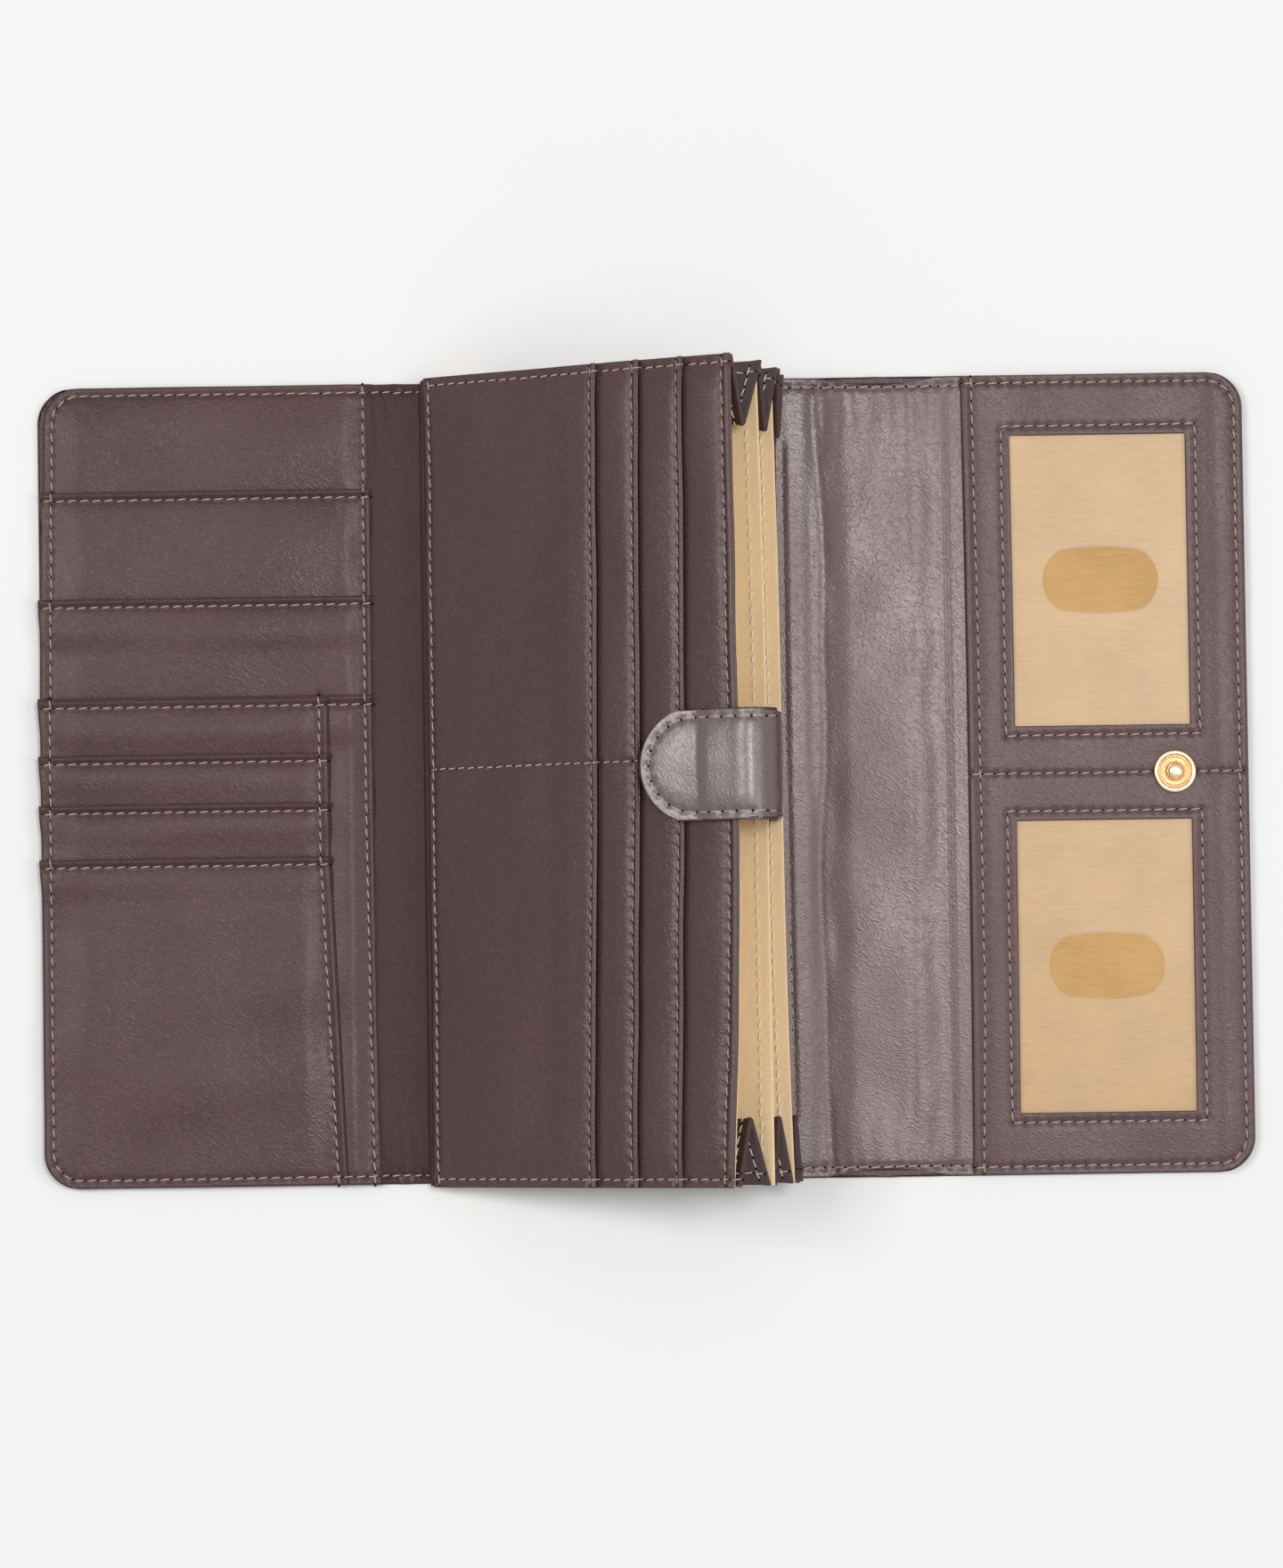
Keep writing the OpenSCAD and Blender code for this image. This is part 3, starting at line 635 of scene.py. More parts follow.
# Darker copy of the brown: painted shade for the pleats at the ends of the bellows
leather_pleat_shade = leatherette("leatherette_pleat_shade", shade(brown, 0.78), 0.36, gloss=0.5)
tan_twill = twill("tan_twill", (0.98, 0.73, 0.44))
backing = paper_like("window_backing_cloth", (0.60, 0.365, 0.145))
film = clear_film("clear_vinyl")
gold = metal("pale_gold", (0.80, 0.59, 0.36), 0.24)
steel = metal("spring_steel", (0.6, 0.6, 0.6), 0.3)
thread = yarn("thread", (0.56, 0.43, 0.37))
pale_thread = yarn("pale_thread", (0.92, 0.80, 0.68))
needle_hole_shade = painted_hole_shade("needle_hole_shade", (0.018, 0.012, 0.011))
board = stiff_board("board", (0.45, 0.40, 0.34))
pale_sewing = [pale_thread, needle_hole_shade]


def finish_piece(piece, bodies, nodes=(), slot=None, start=None, end=None):
    """Puts a piece on its body, or bakes its place into its points when it lies between two, and hides the
    nodes it stands for.
    """
    if isinstance(bodies, str):
        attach(piece, bodies)
    else:
        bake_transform(piece)
    if nodes:
        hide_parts(*nodes)


def finish_over_crease(piece, bodies, nodes, slot, crease):
    """Finishes a piece of the shell or its lining that lies across a crease, between the panels beside it.
    """
    finish_piece(piece, bodies, nodes, slot, (crease - bend, 0, skin_top / 2),
                 (crease + bend, 0, skin_top / 2))


def finish_bent(pieces, bodies, node, slot, x, share_of):
    """Finishes pieces that lie between two bodies of the bellows. The first one stands for the node.

    share_of takes points in millimetres and gives each one's share of the second body; the shares are
    worked out but not applied.
    """
    for piece in pieces:
        first = piece is pieces[0]
        finish_piece(piece, bodies, [node] if first else (), slot if first else None,
                     (x, 0, pivot_z), (x, 0, pivot_z + 50))
        co = np.empty(len(piece.data.vertices) * 3, np.float32)
        piece.data.vertices.foreach_get("co", co)
        share = share_of(co.reshape(-1, 3) / MM)


# Outer shell

# How far in the grid's extra lines lie at a side with rounded corners
ROUND_STEPS = np.array([0.4, 0.9, 1.6, 2.6, 3.4])
# The turned-in hem lifts the shell's inner face near an edge, but not at a crease
hem_w = 1.6
hem_soft = 1.2
hem_gap = 0.04
crease_clear = 1.5
crease_soft = 2.5
shell_gap = 0.02


def corner_cut(y, end=half):
    """How far a panel's rounded corner is cut back at y."""
    into = np.clip(np.abs(y) - (end - corner_r), 0, corner_r)
    return corner_r - np.sqrt(np.maximum(corner_r * corner_r - into * into, 0))


def end_arc(gx, gy, x0, x1, round_left, round_right):
    """Squeezes a rectangular grid into a panel with rounded corners on one side."""
    cut = corner_cut(gy)
    left = x0 + cut * round_left
    right = x1 - cut * round_right
    share = (gx - x0) / (x1 - x0)
    return left + share * (right - left), gy


def corner_rows():
    """Rows that follow the round of a corner."""
    return [side * (half - corner_r + corner_r * math.sin(math.radians(a)))
            for side in (-1, 1) for a in range(0, 90, 9)]


socket_x = (low("cover_socket")[0] + high("cover_socket")[0]) / 2
socket_hole = (high("cover_socket")[0] - low("cover_socket")[0]) / 2 + 0.15
hole_rings = np.array([1.0, 1.12, 1.3, 1.55, 1.9, 2.4])
hole_lines = np.unique(np.concatenate([-hole_rings, np.linspace(-1, 1, 13), hole_rings]))


def with_hole_lines(lines, middle, radius):
    """Grid lines with close ones round a hole in place of the ones that were there."""
    far = np.abs(lines - middle) > hole_rings[-1] * radius + 0.5
    return np.unique(np.concatenate([lines[far], middle + radius * hole_lines]))


def draw_round(gx, gy, plain_x, plain_y, middle, radius):
    """Draws the grid's squares round a hole into circles, less and less away from it."""
    dx = plain_x - middle
    square = np.maximum(np.abs(dx), np.abs(plain_y))
    far = np.hypot(dx, plain_y) + 1e-9
    share = 1 - smooth((square / radius - 1) / (hole_rings[-1] - 1))
    share = np.where(square < radius * hole_rings[-1], share, 0)
    round_x = middle + dx / far * square
    round_y = plain_y / far * square
    return gx + share * (round_x - gx), gy + share * (round_y - gy)


def shell_panel(name, x0, x1, bodies, nodes, crease, round_left=0, round_right=0, butt=None, hole=None):
    """Outer leatherette from one panel's middle to the next, with its turned-in hem at the edges.

    hole is the x and the radius of a snap's hole on the wallet's middle line.
    """
    xs = grid_lines(x0, x1, 3.5, near=[crease], fine=0.6, reach=3.2, ends=False)
    if round_left:
        xs = np.unique(np.concatenate([xs, x0 + ROUND_STEPS]))
    if round_right:
        xs = np.unique(np.concatenate([xs, x1 - ROUND_STEPS]))
    ys = grid_lines(-half, half, 3.0, near=corner_rows(), fine=0.5, reach=0.5)
    if hole:
        xs = with_hole_lines(xs, *hole)
        ys = with_hole_lines(ys, 0, hole[1])

    def outline(gx, gy):
        new_x, new_y = end_arc(gx, gy, x0, x1, round_left, round_right)
        return draw_round(new_x, new_y, gx, gy, *hole) if hole else (new_x, new_y)

    def keep(x, y):
        return np.maximum(np.abs(x - hole[0]), np.abs(y)) > hole[1]

    def top(x, y):
        inside = half - np.abs(y)
        if round_left:
            inside = np.minimum(inside, x - x0)
        if round_right:
            inside = np.minimum(inside, x1 - x)
        away = np.min([np.abs(x - c) for c in (crease_1, crease_2, crease_a, crease_b)], axis=0)
        hem = (board_top - skin_top - hem_gap) * (1 - smooth((inside - hem_w) / hem_soft))
        return skin_top - shell_gap + hem * smooth((away - crease_clear) / crease_soft)

    def thick(x, y):
        return top(x, y) - shell_gap

    piece = sheet(name, leather, xs, ys, top, thick, outline=outline, keep=keep if hole else None,
                  rim=0.5, butt=butt)
    finish_over_crease(piece, bodies, nodes, "leatherette", crease)


spine_middle = (crease_1 + crease_2) / 2
band_middle = (crease_a + crease_b) / 2
shell_panel("outer_cover", left_x, spine_middle, ("left_cover", "spine"), ["cover_skin"],
            crease_2, round_left=1, butt=spine_middle, hole=(socket_x, socket_hole))
shell_panel("outer_spine", spine_middle, 0.0, ("spine", "back"), ["spine_skin", "back_skin"], crease_1,
            butt=(spine_middle, 0.0))
shell_panel("outer_back", 0.0, band_middle, ("back", "band"), ["band_skin"], crease_a,
            butt=(0.0, band_middle))
shell_panel("outer_flap", band_middle, right_x, ("band", "flap"), ["flap_skin"],
            crease_b, round_right=1, butt=band_middle)


# Left cover

edge_in = 0.35
column_x = slots_right
cover_right = pocket_right + 1.3
top_inset = 2.2


def cover_left(y):
    """Left edge of the cover, which bows out a little at its middle."""
    return left_x + edge_in + 1.3 * smooth((y - 20) / 90)


cover_seam_x = cover_right - 2.1
column_seam_x = column_x - 2.5
edge_seam_x = left_x + edge_in + seam_in


def column_lean(y):
    """How far the right edge of the card slots has moved to the right."""
    return -1.4 + 3.6 * np.clip((mouth_4 - y) / (mouth_4 + half), 0, 1)


def cover_edge_seam():
    r = corner_r - seam_in
    cy = half - corner_r
    cx = left_x + edge_in + corner_r
    path = [(cover_right, half - top_inset)]
    path += arc(cx + 1.3, cy, r, 90, 180)
    path += [(edge_seam_x + 0.5, 40), (edge_seam_x, 0), (edge_seam_x, -60)]
    path += arc(cx, -cy, r, 180, 270)
    path += [(cover_right, -half + top_inset)]
    return path


cover_edge = Seam(cover_edge_seam())
cover_side = Seam([(cover_seam_x + 0.3, half), (cover_seam_x, 50), (cover_seam_x - 0.1, 0),
                   (cover_seam_x + 0.4, -60), (cover_seam_x + 1.0, -half)])
column_side = Seam([(column_seam_x + column_lean(y), y) for y in (mouth_c, mouth_4, -50, -75, -half)])
mouth_pitch = 3.05
# Seams under the mouths: how far in they start, where they stop, and their y
mouth_seams = {
    name: Seam([(left_x + start, y), (stop, y)], mouth_pitch)
    for name, start, stop, y in (
        ("a", 1, cover_right, mouth_a - seam_in),
        ("b", 0.6, cover_right, mouth_b - seam_in),
        ("c", 0.6, cover_right, mouth_c - seam_in - 0.4),
        ("2", 0.6, column_x - 1.5, mouth_2 - seam_in),
        ("3", 0.6, column_x - 1.5, mouth_3 - seam_in),
        ("4", 0.6, column_x - 1.5, mouth_4 - seam_in),
    )
}
cover_through = [cover_edge, cover_side, column_side]
cover_all = cover_through + list(mouth_seams.values())


def cover_relief(x, y):
    """Unevenness that all layers of the cover share."""
    in_column = smooth((x - left_x - 3) / 9) * smooth((column_seam_x - x) / 6)
    beside = smooth((x - column_seam_x) / 4) * smooth((cover_seam_x - x) / 4)
    coupons = smooth((x - left_x - 3) / 9) * smooth((cover_seam_x - x) / 9)
    swell = pillows(y, [half - 2, mouth_a - 2, mouth_b - 2, mouth_c - 2]) * coupons
    swell += pillows(y, [mouth_c - 2, mouth_2 - 2, mouth_3 - 2, mouth_4 - 2, -half + 2]) * in_column
    swell += 0.6 * beside * smooth((mouth_c - y) / 8)
    ridge = 0.4 * bump(x - (cover_seam_x - 4.2), 2.2)
    edge = 0.3 * bump(x - left_x - 1.0, 0.9)
    return swell + ridge + edge + waves(x, y, 30, 0.24, 3) - dents(cover_through, x, y)


def lip(y, mouth, height=0.75, width=0.75):
    """Extra height of the rolled fold at a pocket's mouth, which also stands open a little."""
    return height * bump(mouth - 0.8 - y, width) + 0.3 * smooth((y - mouth + 3.2) / 2.4)


def stepped(y, end_before, step_low, step_high):
    """Level of a sheet that rises onto the end of the sheet before it."""
    return step_low + (step_high - step_low) * smooth((y - end_before + 7) / 7)


low_1 = slip_top + pocket_t
high_1 = low_1 + pocket_t + gap
low_s = low_1 + slot_t + gap
high_s = low_s + slot_t + gap
tuck = 8
slot_tuck = 5
cover_sheets = [
    # name, node, right edge, mouth, lower end, level function, seam of its mouth
    ("slip_sheet", "slip_pocket", None, half, -half, lambda y: slip_top + 0 * y, None),
    ("pocket_1", "coupon_pocket_1", cover_right, mouth_a, mouth_b - tuck,
     lambda y: low_1 + 0 * y, "a"),
    ("pocket_2", "coupon_pocket_2", cover_right, mouth_b, mouth_c - tuck,
     lambda y: stepped(y, mouth_b - tuck, low_1, high_1), "b"),
    ("pocket_3", "coupon_pocket_3", cover_right, mouth_c, -half,
     lambda y: stepped(y, mouth_c - tuck, low_1, high_1), "c"),
    ("slot_1", "card_slot_1", column_x, mouth_c - 0.5, mouth_2 - slot_tuck,
     lambda y: stepped(y, mouth_c - tuck, low_s, high_1 + slot_t + gap), "c"),
    ("slot_2", "card_slot_2", column_x, mouth_2, mouth_3 - slot_tuck,
     lambda y: stepped(y, mouth_2 - slot_tuck, low_s, high_s), "2"),
    ("slot_3", "card_slot_3", column_x, mouth_3, mouth_4 - slot_tuck,
     lambda y: stepped(y, mouth_3 - slot_tuck, low_s, high_s), "3"),
    ("slot_4", "card_slot_4", column_x, mouth_4, -half,
     lambda y: stepped(y, mouth_4 - slot_tuck, low_s, high_s), "4"),
]


def cover_top(entry, x, y):
    """Upper face of one sheet of the cover."""
    _, _, right, mouth, end, level, seam = entry
    z = level(y) + cover_relief(x, y)
    if seam:
        z = z - mouth_seams[seam].dent(x, y) + lip(y, mouth) * smooth((y - end) / 6)
    if right is not None:
        edge = right + column_lean(y) if right == column_x else right
        z = z + 0.4 * bump(edge - 0.8 - x, 0.8)
    return z


def cover_surface(x, y):
    """Upper face of the whole cover, whichever sheet is on top."""
    z = cover_top(cover_sheets[0], x, y)
    for entry in cover_sheets[1:]:
        _, _, right, mouth, end, _, _ = entry
        edge = right + column_lean(y) if right == column_x else right
        covers = (x <= edge + 0.3) & (y <= mouth + 0.2) & (y >= end)
        z = np.where(covers, np.maximum(z, cover_top(entry, x, y)), z)
    return z


def make_cover():
    for entry in cover_sheets:
        name, node, right, mouth, end, _, _ = entry
        full = name == "slip_sheet"
        right = cover_right + 0.4 if full else right
        near_x = [edge_seam_x, edge_seam_x + 1, right - 2.6]
        if right > column_x + 5:
            near_x.append(cover_seam_x)
        near_x.append(column_seam_x)
        near_y = [] if full else [mouth - seam_in]
        xs = grid_lines(left_x + edge_in, right, 0.8 if not full else 1.6, near=near_x, fine=0.4)
        rows = [y for y in corner_rows() if end - 1 < y < mouth + 1]
        ys = grid_lines(end, mouth, 0.8, near=near_y + rows, fine=0.4, reach=1.2)

        def outline(gx, gy, right=right, mouth=mouth, full=full):
            x0 = left_x + edge_in
            left = cover_left(gy) + corner_cut(gy)
            if not full:
                left = left - 0.45 * smooth((gy - mouth + 9) / 7) - 0.3
            bow = np.where(gy < 0, 0.9, 0.3) * (gy / half) ** 2 - 0.1
            if right == column_x:
                bow = column_lean(gy)
            share = (gx - x0) / (right - x0)
            return left + share * (right + bow - left), gy

        piece = sheet(name, leather, xs, ys, lambda x, y, e=entry: cover_top(e, x, y),
                      pocket_t * 0.9 if not full else 0.6, outline=outline, rim=0.35)
        finish_piece(piece, "left_cover", [node], "leatherette")
    seams = stitches("cover_stitches", cover_all, cover_surface, seed=5)
    finish_piece(seams, "left_cover")


make_cover()


# Spine


def spine_level(x, y):
    """Valley between the cover and the bellows, wrinkled towards its ends."""
    ends = smooth((np.abs(y) - half + 22) / 20)
    wrinkle = 0.16 * np.sin(x * 2.1 + 0.9 * np.sin(y * 0.21)) * ends
    return skin_top + 0.6 + 0.014 * (x - spine_middle - 0.8) ** 2 + wrinkle + waves(x, y, 26, 0.08, 8)


spine_seams = [
    Seam([(crease_2 - 1.5, side * (half - top_inset)), (crease_1 + 2.5, side * (half - top_inset))])
    for side in (1, -1)
]


def spine_surface(x, y):
    return spine_level(x, y) - dents(spine_seams, x, y)


def make_spine():
    parts = [
        ("spine_sheet_left", crease_2 - 2.6, spine_middle, ("left_cover", "spine"), crease_2,
         ["spine_lining"]),
        ("spine_sheet_right", spine_middle, crease_1 + 2.7, ("spine", "back"), crease_1, []),
    ]
    for name, x0, x1, bodies, crease, nodes in parts:
        xs = grid_lines(x0, x1, 0.45, ends=False)
        ys = grid_lines(-half + 0.3, half - 0.3, 1.6, near=[half - top_inset, -half + top_inset])
        # The spine's sheets take the darker copy of the brown, painted shade for the valley
        piece = sheet(name, leather_painted_shade, xs, ys, spine_surface, 0.5, rim=0.2, butt=spine_middle)
        finish_over_crease(piece, bodies, nodes, "dark_leatherette", crease)
    sewn = stitches("spine_stitches", spine_seams, spine_surface, seed=6)
    finish_piece(sewn, "spine")


make_spine()


# Back panel under the bellows, its lip, and the band

lip_left = high("back_lining")[0]


def band_level(x, y):
    """Leatherette over the back's lip, down across the crease and along the band to the flap."""
    on_back = 1 - smooth((x - crease_a + 4.6) / 3.2)
    on_flap = smooth((x - crease_b - 1.6) / 1.5)
    base = skin_top + 0.55 + (lining_top - skin_top - 0.55) * np.maximum(on_back, on_flap)
    puff = 0.6 * smooth((x - crease_a - 1) / 7) * smooth((crease_b - x) / 7)
    wander = 0.9 * np.sin(y / 23) + 0.4 * np.sin(y / 9 + 1)
    crease = -0.16 * bump(x - crease_a - 0.2 - wander, 1.1)
    ridge = 0.12 * bump(x - crease_a + 2.0 - wander, 1.4)
    second = -0.07 * bump(x - crease_b + 7.5 - 0.7 * np.sin(y / 31 + 1), 0.9)
    ends = np.exp(-((half - np.abs(y)) / 9))
    wrinkle = 0.1 * np.sin(x * 1.5 + 1.6 * np.sin(y * 0.19) + 1.3 * np.sin(x * 0.37)) * ends
    wrinkle = wrinkle * smooth((x - crease_a + 3) / 3) * smooth((crease_b - x + 1) / 3)
    small = 0.04 * np.sin(y * 1.7 + 2 * np.sin(x * 0.6)) * bump(x - crease_a - 2, 3)
    lap = 0.3 * (1 - smooth((x - lip_left - 2) / 4))
    soft = waves(x, y, 26, 0.13, 12) + waves(x, y * 0.6, 11, 0.02, 13)
    soft = soft * smooth((x - crease_a) / 4) * smooth((crease_b - x) / 4)
    return base + lap + puff + crease + ridge + second + wrinkle + small + soft


band_seams = [
    Seam([(lip_left - 1.0, side * (half - top_inset)), (band_middle, side * (half - top_inset - 0.7)),
          (crease_b + 7, side * (half - top_inset))])
    for side in (1, -1)
]
lip_seam = Seam([(lip_left + 0.6, half - 18), (lip_left + 0.5, 20), (lip_left + 0.9, -40),
                 (lip_left + 1.4, -half + 16)], 3.1)


def band_surface(x, y):
    return band_level(x, y) - dents(band_seams + [lip_seam], x, y)


def make_band():
    # How far the band's ends draw in between the stiff panels
    draw_in = 1.9
    parts = [
        ("lip_sheet", lip_left - 1.2, band_middle, ("back", "band"), crease_a,
         ["back_lip_lining", "band_lining"]),
        ("band_sheet", band_middle, panel_left + 3, ("band", "flap"), crease_b, ["flap_lining"]),
    ]
    for name, x0, x1, bodies, crease, nodes in parts:
        xs = grid_lines(x0, x1, 0.75, near=[crease], fine=0.45, reach=3, ends=False)
        ys = grid_lines(-half + 0.3, half - 0.3, 1.5,
                        near=[half - top_inset, -half + top_inset], fine=0.4)

        def outline(gx, gy):
            inwards = draw_in * np.sin(math.pi * np.clip((gx - crease_a) / (crease_b - crease_a), 0, 1))
            return gx, gy * (1 - inwards / half)

        piece = sheet(name, leather_soft, xs, ys, band_surface, 0.5, outline=outline, rim=0.22,
                      butt=band_middle)
        finish_over_crease(piece, bodies, nodes, "leatherette", crease)
    sewn = stitches("lip_stitches", [lip_seam], band_surface, seed=7)
    finish_piece(sewn, "back")
    stretches = [("back", lip_left, crease_a - 1), ("band", crease_a + 1, crease_b - 1),
                 ("flap", crease_b + 1, crease_b + 6.5)]
    stretch_y = half - top_inset - 0.45
    for k, (body, x0, x1) in enumerate(stretches):
        short = [Seam([(x0, side * stretch_y), (x1, side * stretch_y)]) for side in (1, -1)]
        sewn = stitches(f"band_stitches_{k + 1}", short, band_surface, seed=20 + k)
        finish_piece(sewn, body)
    xs = grid_lines(low("back_lining")[0], lip_left - 0.2, 2.5)
    ys = grid_lines(-half + 0.4, half - 0.4, 2.5)
    lining = sheet("back_lining_cloth", tan_twill, xs, ys,
                   lambda x, y: lining_top - 0.1 + waves(x, y, 30, 0.03, 14) + 0 * x, 0.4, rim=0.2)
    finish_piece(lining, "back", ["back_lining"], "twill")


make_band()


# Closing flap with its windows

flap_in = 0.3
flap_x1 = right_x - flap_in
window_seam_gap = 2.4
window_left = window_x - window_w / 2
window_right = window_x + window_w / 2


def flap_outline(gx, gy):
    """Rounds the flap's free corners and lets its other side bow out a little."""
    bow = 0.9 * (gy / half) ** 2
    share = (gx - panel_left) / (flap_x1 - panel_left)
    left = panel_left - 0.5 * bow
    return left + share * (flap_x1 - corner_cut(gy, half - flap_in) - left), gy


def flap_edge_seam():
    r = corner_r - seam_in
    cx = flap_x1 - corner_r
    cy = half - flap_in - corner_r
    path = [(panel_left, half - top_inset)]
    path += arc(cx, cy, r, 90, 0)
    path += arc(cx, -cy, r, 0, -90)
    path += [(panel_left, -half + top_inset)]
    return path


def window_frame(side):
    g = window_seam_gap
    y0 = side * window_y - window_h / 2 - g
    y1 = side * window_y + window_h / 2 + g
    x0 = window_left - g
    x1 = window_right + g
    return [(x0, y0), (x1, y0), (x1, y1), (x0, y1), (x0, y0)]


flap_seams = [
    Seam(flap_edge_seam()),
    Seam([(panel_left + 2.2, half - 0.5), (panel_left + 2.9, 40), (panel_left + 3.0, 0),
          (panel_left + 3.2, -60), (panel_left + 2.2, -half + 0.5)]),
    Seam([(panel_left + 0.5, 0), (stud_x - 5.7, 0)]),
    Seam([(stud_x + 5.7, 0), (flap_x1 - 1, 0)]),
    Seam(window_frame(1)),
    Seam(window_frame(-1)),
]


def flap_surface(x, y):
    roll = 0.35 * bump(x - panel_left - 0.9, 1.0)
    puff = 0.3 * smooth((x - panel_left - 4) / 5) * smooth((window_left - 4 - x) / 4)
    right_puff = 0.3 * bump(x - (window_right + flap_x1) / 2 - 0.8, 2.6)
    dish = -0.45 * bump(np.hypot(x - stud_x, y), 6.5)
    edge = -0.25 * (1 - smooth((flap_x1 - x) / 1.5))
    swell = panel_top + roll + puff + right_puff + dish + edge + waves(x, y, 26, 0.14, 17)
    return swell - dents(flap_seams, x, y)


def make_flap():
    g = window_seam_gap
    near_x = [panel_left + 3, window_left - g, window_left, window_right, window_right + g,
              flap_x1 - seam_in]
    near_y = [0.0]
    for side in (-1, 1):
        y0 = side * window_y - window_h / 2
        y1 = side * window_y + window_h / 2
        near_y += [y0 - g, y0, y1, y1 + g, side * (half - top_inset)]
    xs = grid_lines(panel_left, flap_x1, 0.8, near=near_x, fine=0.4)
    ys = grid_lines(-half + flap_in, half - flap_in, 0.8, near=near_y, fine=0.4, reach=1.2)

    def keep(x, y):
        inside = (x > window_left) & (x < window_right)
        return ~(inside & (np.abs(np.abs(y) - window_y) < window_h / 2))

    def thick(x, y):
        rim = np.minimum(flap_x1 - x, half - flap_in - np.abs(y))
        return panel_t * 0.9 + (panel_top - board_top - panel_t - 0.1) * (1 - smooth((rim - 1.4) / 1.0))

    panel = sheet("window_frame_panel", leather_flap, xs, ys, flap_surface, thick,
                  outline=flap_outline, keep=keep, rim=0.28)
    finish_piece(panel, "flap", ["window_panel"], "leatherette")
    xs = grid_lines(panel_left + 2.4, flap_x1 - 2.8, 2.0)
    ys = grid_lines(-half + 3.2, half - 3.2, 2.0)
    cloth = sheet("window_backing_sheet", backing, xs, ys,
                  lambda x, y: lining_top - 0.02 + waves(x, y, 50, 0.02, 19), 0.45, rim=0.2)
    finish_piece(cloth, "flap", ["window_backing"], "twill")
    sewn = stitches("flap_stitches", flap_seams, flap_surface, seed=9)
    finish_piece(sewn, "flap")


def vinyl(name, node, side):
    """Clear window with its thumb hole, drawn as loops from the hole to the outer edge."""
    steps = 128
    turn = np.arange(steps) * 2 * math.pi / steps + 0.01
    cos, sin = np.cos(turn), np.sin(turn)
    run = thumb_l / 2 - thumb_w / 2
    inner = np.stack([run * np.clip(cos * 2.2, -1, 1) + thumb_w / 2 * cos, thumb_w / 2 * sin], 1)
    wide = window_w / 2 + vinyl_lap - 0.3
    tall = window_h / 2 + vinyl_lap - 0.3
    reach = np.minimum(wide / np.maximum(np.abs(cos), 1e-6), tall / np.maximum(np.abs(sin), 1e-6))
    outer = np.stack([cos * reach, sin * reach], 1)
    shares = [0, 0.012, 0.03, 0.1, 0.2, 0.35, 0.5, 0.65, 0.8, 0.9, 0.985, 1]
    rings = [inner + (outer - inner) * s for s in shares]
    film_z = lining_top + 0.34
    points = []
    for sign in (1, -1):
        for k, ring in enumerate(rings):
            edge = 0.1 if k in (0, len(rings) - 1) else 0.15
            wave = waves(ring[:, 0], ring[:, 1], 40, 0.03, 23 + side)
            points.append(np.column_stack([ring[:, 0] + window_x, ring[:, 1] + side * window_y,
                                           film_z + wave + sign * edge]))
    ids = np.arange(2 * len(rings) * steps).reshape(2, len(rings), steps)
    faces = [ring_quads(ids[0])[:, FLIPPED], ring_quads(ids[1])[:, SHIFTED],
             ring_quads(ids[:, 0])[:, SHIFTED], ring_quads(ids[:, -1])[:, FLIPPED]]
    piece = build(name, np.concatenate(points), faces, film)
    finish_piece(piece, "flap", [node], "clear_vinyl")


make_flap()
vinyl("window_film_upper", "window_upper", 1)
vinyl("window_film_lower", "window_lower", -1)


# Snap studs


def lathe(profile, steps, flute):
    """Closed turned shape about Z. flute lowers chosen rings in a ring of narrow rays."""
    turn = np.arange(steps) * 2 * math.pi / steps
    points = [np.stack([r * np.cos(turn), r * np.sin(turn), z + flute(k, turn)], 1)
              for k, (r, z) in enumerate(profile)]
    ids = np.arange(len(profile) * steps).reshape(len(profile), steps)
    return np.concatenate(points), [ring_quads(ids)]


def make_flap_stud():
    rays = 32
    ray_depth = 0.2
    profile = [
        (0.02, -0.35), (4.6, -0.35), (5.15, -0.15), (5.38, 0.2), (5.36, 0.5), (5.2, 0.74), (4.95, 0.88),
        (4.6, 0.9), (4.35, 0.78), (4.22, 0.5), (4.1, 0.14), (3.9, 0.12), (3.7, 0.34), (3.1, 0.3),
        (2.7, 0.24), (2.4, 0.18), (2.2, 0.02), (1.9, -0.06), (1.6, 0.0), (1.45, 0.2), (1.4, 0.6),
        (1.5, 1.0), (1.75, 1.35), (1.9, 1.75), (1.84, 2.1), (1.6, 2.4), (1.2, 2.58), (0.7, 2.66),
        (0.02, 2.68),
    ]
    fluted = {11: 0.5, 12: 1.0, 13: 1.0, 14: 1.0, 15: 0.4}

    def flute(k, turn):
        return ray_depth * fluted.get(k, 0) * np.cos(turn * rays)

    points, faces = lathe(profile, steps=rays * 8, flute=flute)
    points = points + np.array([stud_x, 0, panel_top])
    piece = build("snap_stud", points, faces, gold)
    finish_piece(piece, "flap", ["flap_stud"], "gold_snap")


make_flap_stud()


# Bellows


def at_wall(angle, r, n):
    """Point of the cross-section at radius r and offset n from a wall at that angle."""
    return (pivot_x + r * np.cos(angle) - n * np.sin(angle),
            pivot_z + r * np.sin(angle) + n * np.cos(angle))


angle_2 = fan
angle_1 = 2 * fan
angle_f = 3 * fan
wall_start = 1.5
wall_half = bellows_half - 0.2
end_inset = 3.4
ply = 0.24


def in_wall(angle):
    """Mapping from a wall's own plane to the model."""
    def place(u, v, h):
        x, z = at_wall(angle, u, h)
        return x, v, z
    return place


def curve_between(y, top, middle, bottom):
    """Value that passes smoothly from one end of the wallet to the other."""
    t = np.clip(y / bellows_half, -1, 1)
    return middle + np.where(t > 0, (top - middle) * t * t, (bottom - middle) * t * t)


slot_3_r = bellows_d - 15.5
slot_2_r = slot_3_r - 12.6
slot_1_r = slot_2_r - 12.5
front_low = front_top_n + slot_t
front_high = front_low + slot_t + gap
front_left = wall_start - 0.2


def front_share(u):
    return np.clip((u - front_left) / (bellows_d - front_left), 0, 1)


